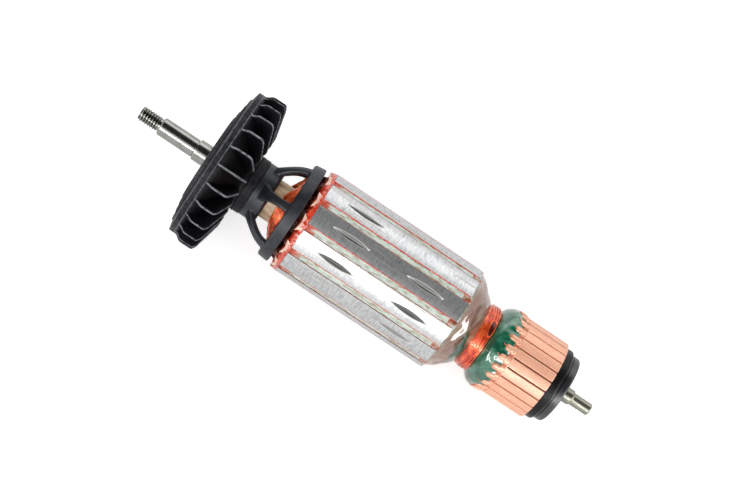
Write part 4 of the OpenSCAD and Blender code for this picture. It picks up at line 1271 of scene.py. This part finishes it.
def makeEye(s):
    turn = fullTurn(60)
    across = s["halfWide"] * np.cos(turn)
    z = s["station"] + s["halfLong"] * np.sin(turn) + s["tilt"] * across / s["halfWide"]
    r = s["outR"] - s["endDrop"] * across ** 2
    middle = math.radians(s["angle"])
    path = cylindrical(r, middle + across / s["outR"], z)[None]
    addPiece("binding_eye", [tubes(path, s["strandR"], 8)], enamel, (), 180)
    hollow = lobe((s["station"], s["outR"] - s["hollowSunk"], 0.0),
                  (s["halfLong"], s["halfWide"], s["hollowRise"]), middle, square=1.0)
    shadowed = makeEnamel("deepEnamel", dict(enamelSettings, **s["hollow"]))
    addPiece("binding_hollow", [shells(hollow)], shadowed, (), 180)


makeEye(eyeSettings)
print("waist bound")


# green resin from the waist up to the hooks: thick, glossy, pulled into lumps between the leads
greenSettings = {
    "deep": "#0E5038", "middle": "#226E52", "pale": "#4A8A6E", "roughness": 0.13, "coatRoughness": 0.07,
    "columns": 384, "rows": 60, "before": 0.3, "longer": 3.0, "lowInside": 0.2, "highInside": 0.25,
    "fullness": 0.6, "dip": 0.7, "dipLen": 2.8, "dipPower": 1.5,
    "hookWaves": 0.08, "wavesFrom": 2.2, "wavesOver": 2, "lumps": 0.2, "lumpsOver": 1.5,
    "lump": {"seed": 17, "waves": 10, "mostTurns": 8, "longest": 16.0},
}


def greenSurface(s, angle, z):
    # its radius swells from the waist like a sine, waves once for every bar and dips under the hooks
    z0, z1 = stations("collar_resin")
    lowR, highR = radii("lead_band")[1] - s["lowInside"], radii("collar_resin")[1] - s["highInside"]
    swell = np.sin(rampUp(z - z0, z1 - z0) * math.pi / 2) ** s["fullness"]
    dip = s["dip"] * rampUp(z - z1, s["dipLen"]) ** s["dipPower"]
    waves = np.cos(len(barAngles) * (angle - barAngles[0]))
    waves = rampUp(z - z0 - s["wavesFrom"], s["wavesOver"]) * waves
    lumps = rampUp(z - z0, s["lumpsOver"]) * ripple(angle, z, **s["lump"])
    return lowR + (highR - lowR) * swell - dip + s["hookWaves"] * waves + s["lumps"] * lumps


def makeGreenResin(s):
    material, tree, shader = startMaterial("greenResin", {
        "Roughness": s["roughness"], "IOR": 1.54, "Coat Weight": 1.0,
        "Coat Roughness": s["coatRoughness"], "Subsurface Weight": 0.1,
        "Subsurface Radius": (0.2, 0.6, 0.4), "Subsurface Scale": 0.0008})
    _, tint = cloudyTint(tree, (0.3,) * 3, {"Detail": 4.0, "Distortion": 0.6},
                         [(0.36, s["deep"]), (0.5, s["middle"]), (0.68, s["pale"])])
    feed(shader, {"Base Color": tint})
    return material


def makeGreen(s):
    z0, z1 = stations("collar_resin")
    angle = fullTurn(s["columns"])[None, :]
    z = z0 - s["before"] + (z1 - z0 + s["longer"]) * np.linspace(0, 1, s["rows"])[:, None]
    addPiece("green_collar", [poured(greenSurface(s, angle, z), angle, z)], makeGreenResin(s),
             ["collar_resin"], 60)


makeGreen(greenSettings)
print("collar poured")


# commutator bars: copper turned to size, with a hook fused down over the lead at each bar's end
barSettings = {
    "halfSlit": 0.22, "gap": 0.02, "edge": 0.14, "depth": 4.0, "footGap": 0.1, "endChamfer": 0.3,
    "noseCurve": 1.6, "noseGap": 0.1, "lowStep": 0.4, "stepLen": 0.2, "underTongue": 1.7,
    "underLess": 1.0,
    "startRows": (0, 0.1), "underRows": (-0.1, 0.3), "trackRows": (-0.35, -0.02, 0.02, 0.35),
    "endRows": (-0.55, -0.3, -0.12, 0),  # mm from the bar's start, the tongue, the track and its end
    "tongueLen": 3.4, "tongueSunk": 0.15, "tongueUneven": (0.15, 0.08, 0.12), "hookHalf": 1.0,
    "hookUneven": 0.08, "hookRise": 0.7, "footHalf": 1.3, "footBack": 1.0, "footLen": 0.95,
    "footSunk": 0.42, "footRise": 0.52, "footUneven": 0.1,
    "copper": "#F4A98A", "pale": "#FBC6A4", "level": 0.75, "turning": 0.18, "bump": 0.00003,
    # burnt is both the hooks' heat colour and the painted shade between them
    "burnt": "#BC5628", "burntEnds": (1.2, 2.2), "burntWaves": 2.0, "burntShare": 0.9,
    "betweenDepth": (0.6, 0.05), "hookEnd": 0.1, "roughness": 0.36, "hookRoughness": 0.24,
    "leadR": 0.17, "leadLen": 0.9, "leadOver": 0.7, "leadEnds": 0.3, "leadBend": 0.07, "leadCurve": 1.5,
    "leadSway": 0.06, "leadSunk": 0.3, "leadRise": 0.45, "seed": 12,
}


def makeCopper(s):
    material, tree, shader = startMaterial("turnedCopper", {
        "Metallic": 0.15, "Specular IOR Level": s["level"]})
    # turning marks run round, a little coarser than real ones so that they show; light rubbing
    # marks cross them
    marks = addNode(tree, "TexNoise", {}, {
        "Vector": shaftMapping(tree, (0.6, 0.6, 1 / s["turning"])), "Scale": 1.0, "Detail": 2.0})
    rubs = addNode(tree, "TexNoise", {}, {
        "Vector": shaftMapping(tree, (2.5, 2.5, 0.4)), "Scale": 1.0, "Detail": 4.0, "Roughness": 0.7})
    both = addNode(tree, "Math", "ADD", {0: marks, 1: rubs})
    mean = addNode(tree, "Math", "MULTIPLY", {0: both, 1: 0.5})
    tint = addNode(tree, "ValToRGB", {"ramp": [(0.4, s["copper"]), (0.62, s["pale"])]}, {"Fac": mean})
    # the hooks were welded hot: browner towards their free end
    z = shaftStation(tree)
    heat = addNode(tree, "Math", "MULTIPLY_ADD", {0: rubs, 1: s["burntWaves"], 2: z})
    burnt = addNode(tree, "MapRange", {}, {
        "Value": heat, "From Min": barZ[0] + s["burntEnds"][0], "From Max": barZ[0] + s["burntEnds"][1],
        "To Min": s["burntShare"], "To Max": 0.0})
    # painted shade: the burnt colour also goes down between the hooks, where r is less than the track's
    low = addNode(tree, "MapRange", {}, {
        "Value": shaftRadius(tree), "From Min": trackR - s["betweenDepth"][0],
        "From Max": trackR - s["betweenDepth"][1], "To Min": 1.0, "To Max": 0.0})
    before = addNode(tree, "Math", "LESS_THAN", {0: z, 1: trackZ[0] - s["hookEnd"]})
    shadeBetween = addNode(tree, "Math", "MULTIPLY", {0: low, 1: before})
    share = addNode(tree, "Math", "MAXIMUM", {0: burnt, 1: shadeBetween})
    mixed = addNode(tree, "Mix", colours, {"Factor": share, mixA: tint, mixB: linear(s["burnt"])})
    gloss = addNode(tree, "MapRange", {}, {
        "Value": before, "To Min": s["roughness"], "To Max": s["hookRoughness"]})
    bump = addNode(tree, "Bump", {}, {"Strength": 0.35, "Distance": s["bump"], "Height": both})
    feed(shader, {"Base Color": mixed, "Roughness": gloss, "Normal": bump})
    return material


def barBlock(s, angle):
    # section across the bar: arc of the track, two rounded edges, flat sides and foot
    under = barZ[0] + s["tongueLen"] - s["underLess"]
    z = np.concatenate([np.add(barZ[0], s["startRows"]), np.add(under, s["underRows"]),
                        np.add(trackZ[0], s["trackRows"]), np.add(barZ[1], s["endRows"])])[:, None]
    low = s["lowStep"] * rampUp(trackZ[0] - z, s["stepLen"]) + s["underTongue"] * (z < under)
    nose = rampUp(z - barZ[1] + s["endChamfer"], s["endChamfer"])
    top = trackR - low - s["endChamfer"] * nose ** s["noseCurve"]
    half = math.pi / len(barAngles) * trackR - s["halfSlit"] * (z > trackZ[0]) - s["gap"]
    half = half - s["noseGap"] * nose ** 2
    e = s["edge"]
    turn = np.linspace(0, math.pi / 2, 5)[None, :]
    arc = np.linspace(-1, 1, 7)[None, 1:-1]
    left = (-(half - e + e * np.cos(turn)), top - e + e * np.sin(turn))
    crown = ((half - e) * arc, top + 0 * arc)
    right = ((half - e + e * np.cos(turn[:, ::-1])), top - e + e * np.sin(turn[:, ::-1]))
    footHalf = half * (trackR - s["depth"]) / trackR - s["footGap"]
    foot = (np.concatenate([footHalf, -footHalf], 1),
            np.concatenate([trackR - s["depth"] + 0 * top] * 2, 1))
    across = np.concatenate([left[0], crown[0], right[0], foot[0]], 1)
    r = np.concatenate([left[1] + 0 * top, crown[1], right[1] + 0 * top, foot[1]], 1)
    return cylindrical(r, angle + across / trackR, z)[None]


def makeBars(s):
    copper = makeCopper(s)
    draw = np.random.default_rng(s["seed"])
    for i, angle in enumerate(barAngles):
        bump = draw.uniform(-1, 1, 6)
        # the hook's tongue, the weld's dent between, and the fused foot
        half = s["tongueLen"] / 2
        shift, sideways, longer = s["tongueUneven"] * bump[:3]
        tongue = lobe((barZ[0] + half + shift, trackR - s["tongueSunk"], sideways),
                      (half + longer, s["hookHalf"] + s["hookUneven"] * bump[3], s["hookRise"]), angle)
        wider, shift, sideways = s["footUneven"] * bump[3:]
        foot = lobe((trackZ[0] - s["footBack"] + shift, trackR - s["footSunk"], sideways),
                    (s["footLen"], s["footHalf"] + wider, s["footRise"]), angle)
        addPiece(f"bar_{i + 1:02d}", [shells(barBlock(s, angle)), shells(tongue), shells(foot)], copper,
                 [f"commutator_bar_{i + 1:02d}"], 50)
    # leads: they come up out of the green resin just before the hooks
    t = np.linspace(0, 1, 16)[None, :]
    each = (len(barAngles), 1)
    z = barZ[0] - s["leadLen"] * (1 - t) + s["leadOver"] * t
    z = z + draw.uniform(-s["leadEnds"], s["leadEnds"], each) * (1 - t)
    a = barAngles[:, None] - s["leadBend"] * (1 - t) ** s["leadCurve"]
    a = a + draw.uniform(-s["leadSway"], s["leadSway"], each) * (1 - t)
    r = greenSurface(greenSettings, a, z) - s["leadSunk"] + s["leadRise"] * t
    leads = tubes(cylindrical(r, a, z), s["leadR"], 7, closed=False)
    addPiece("hook_leads", [leads], copper, (), 180)


makeBars(barSettings)


# brown phenolic moulding between the bars: dull and mottled; and the satin black ring pressed
# on the end
mouldingSettings = {"colour": "#8E4A28", "dark": "#5A2C18", "roughness": 0.6}
ringSettings = {
    "flangeW": 2.9, "flangeChamfer": (0.3, 0.5), "flangeRadii": [0.1, 0.2, 0.2, 0.35, 0.3, 0.1],
    "groove": 0.5, "grooveDepth": 0.3, "grooveSlope": 0.2, "noseIn": 0.1, "noseInset": 1.0,
    "noseRadii": [0.05, 0.05, 0.15, 0.15, 1.4, 0.1], "segments": 160,
    # painted shade: the flange is given a darker copy of the ring's satin black finish than the nose
    "flange": dict(guardNylon, colour="#08080A", worn="#111216", roughness=0.36, grain=0.3, level=0.2),
    "nose": dict(guardNylon, colour="#101115", worn="#2A2C32", roughness=0.32, grain=0.3, level=0.75),
}


def finishMoulding(s):
    material, tree, shader = startMaterial("brownPhenolic", {"Roughness": s["roughness"], "IOR": 1.58})
    _, tint = cloudyTint(tree, (1.5,) * 3, {"Detail": 3.0}, [(0.35, s["dark"]), (0.65, s["colour"])])
    feed(shader, {"Base Color": tint})
    refinish("commutator_hub", material)


def makeEndRing(s):
    z0, z1 = stations("end_ring")
    boreR, flangeR = radii("end_ring")
    near, far = s["flangeChamfer"]
    flangeZ = z0 + s["flangeW"]
    flange = rounded([
        (z0, boreR), (z0, flangeR - near), (z0 + near, flangeR), (flangeZ - far, flangeR),
        (flangeZ, flangeR - far), (flangeZ, boreR)], s["flangeRadii"], 7, closed=True)
    noseR = flangeR - s["noseInset"]
    grooveR, grooveZ = noseR - s["grooveDepth"], flangeZ + s["groove"]
    nose = rounded([
        (flangeZ - s["noseIn"], boreR), (flangeZ - s["noseIn"], grooveR), (grooveZ, grooveR),
        (grooveZ + s["grooveSlope"], noseR), (z1, noseR), (z1, boreR)], s["noseRadii"], 7, closed=True)
    addPiece("end_ring_flange", [turned(flange, s["segments"], closed=True)],
             makeNylon("flangePlastic", s["flange"]), ["end_ring"], 50)
    addPiece("end_ring_nose", [turned(nose, s["segments"], closed=True)],
             makeNylon("nosePlastic", s["nose"]), (), 50)


finishMoulding(mouldingSettings)
makeEndRing(ringSettings)
print("commutator built")


print("finished")
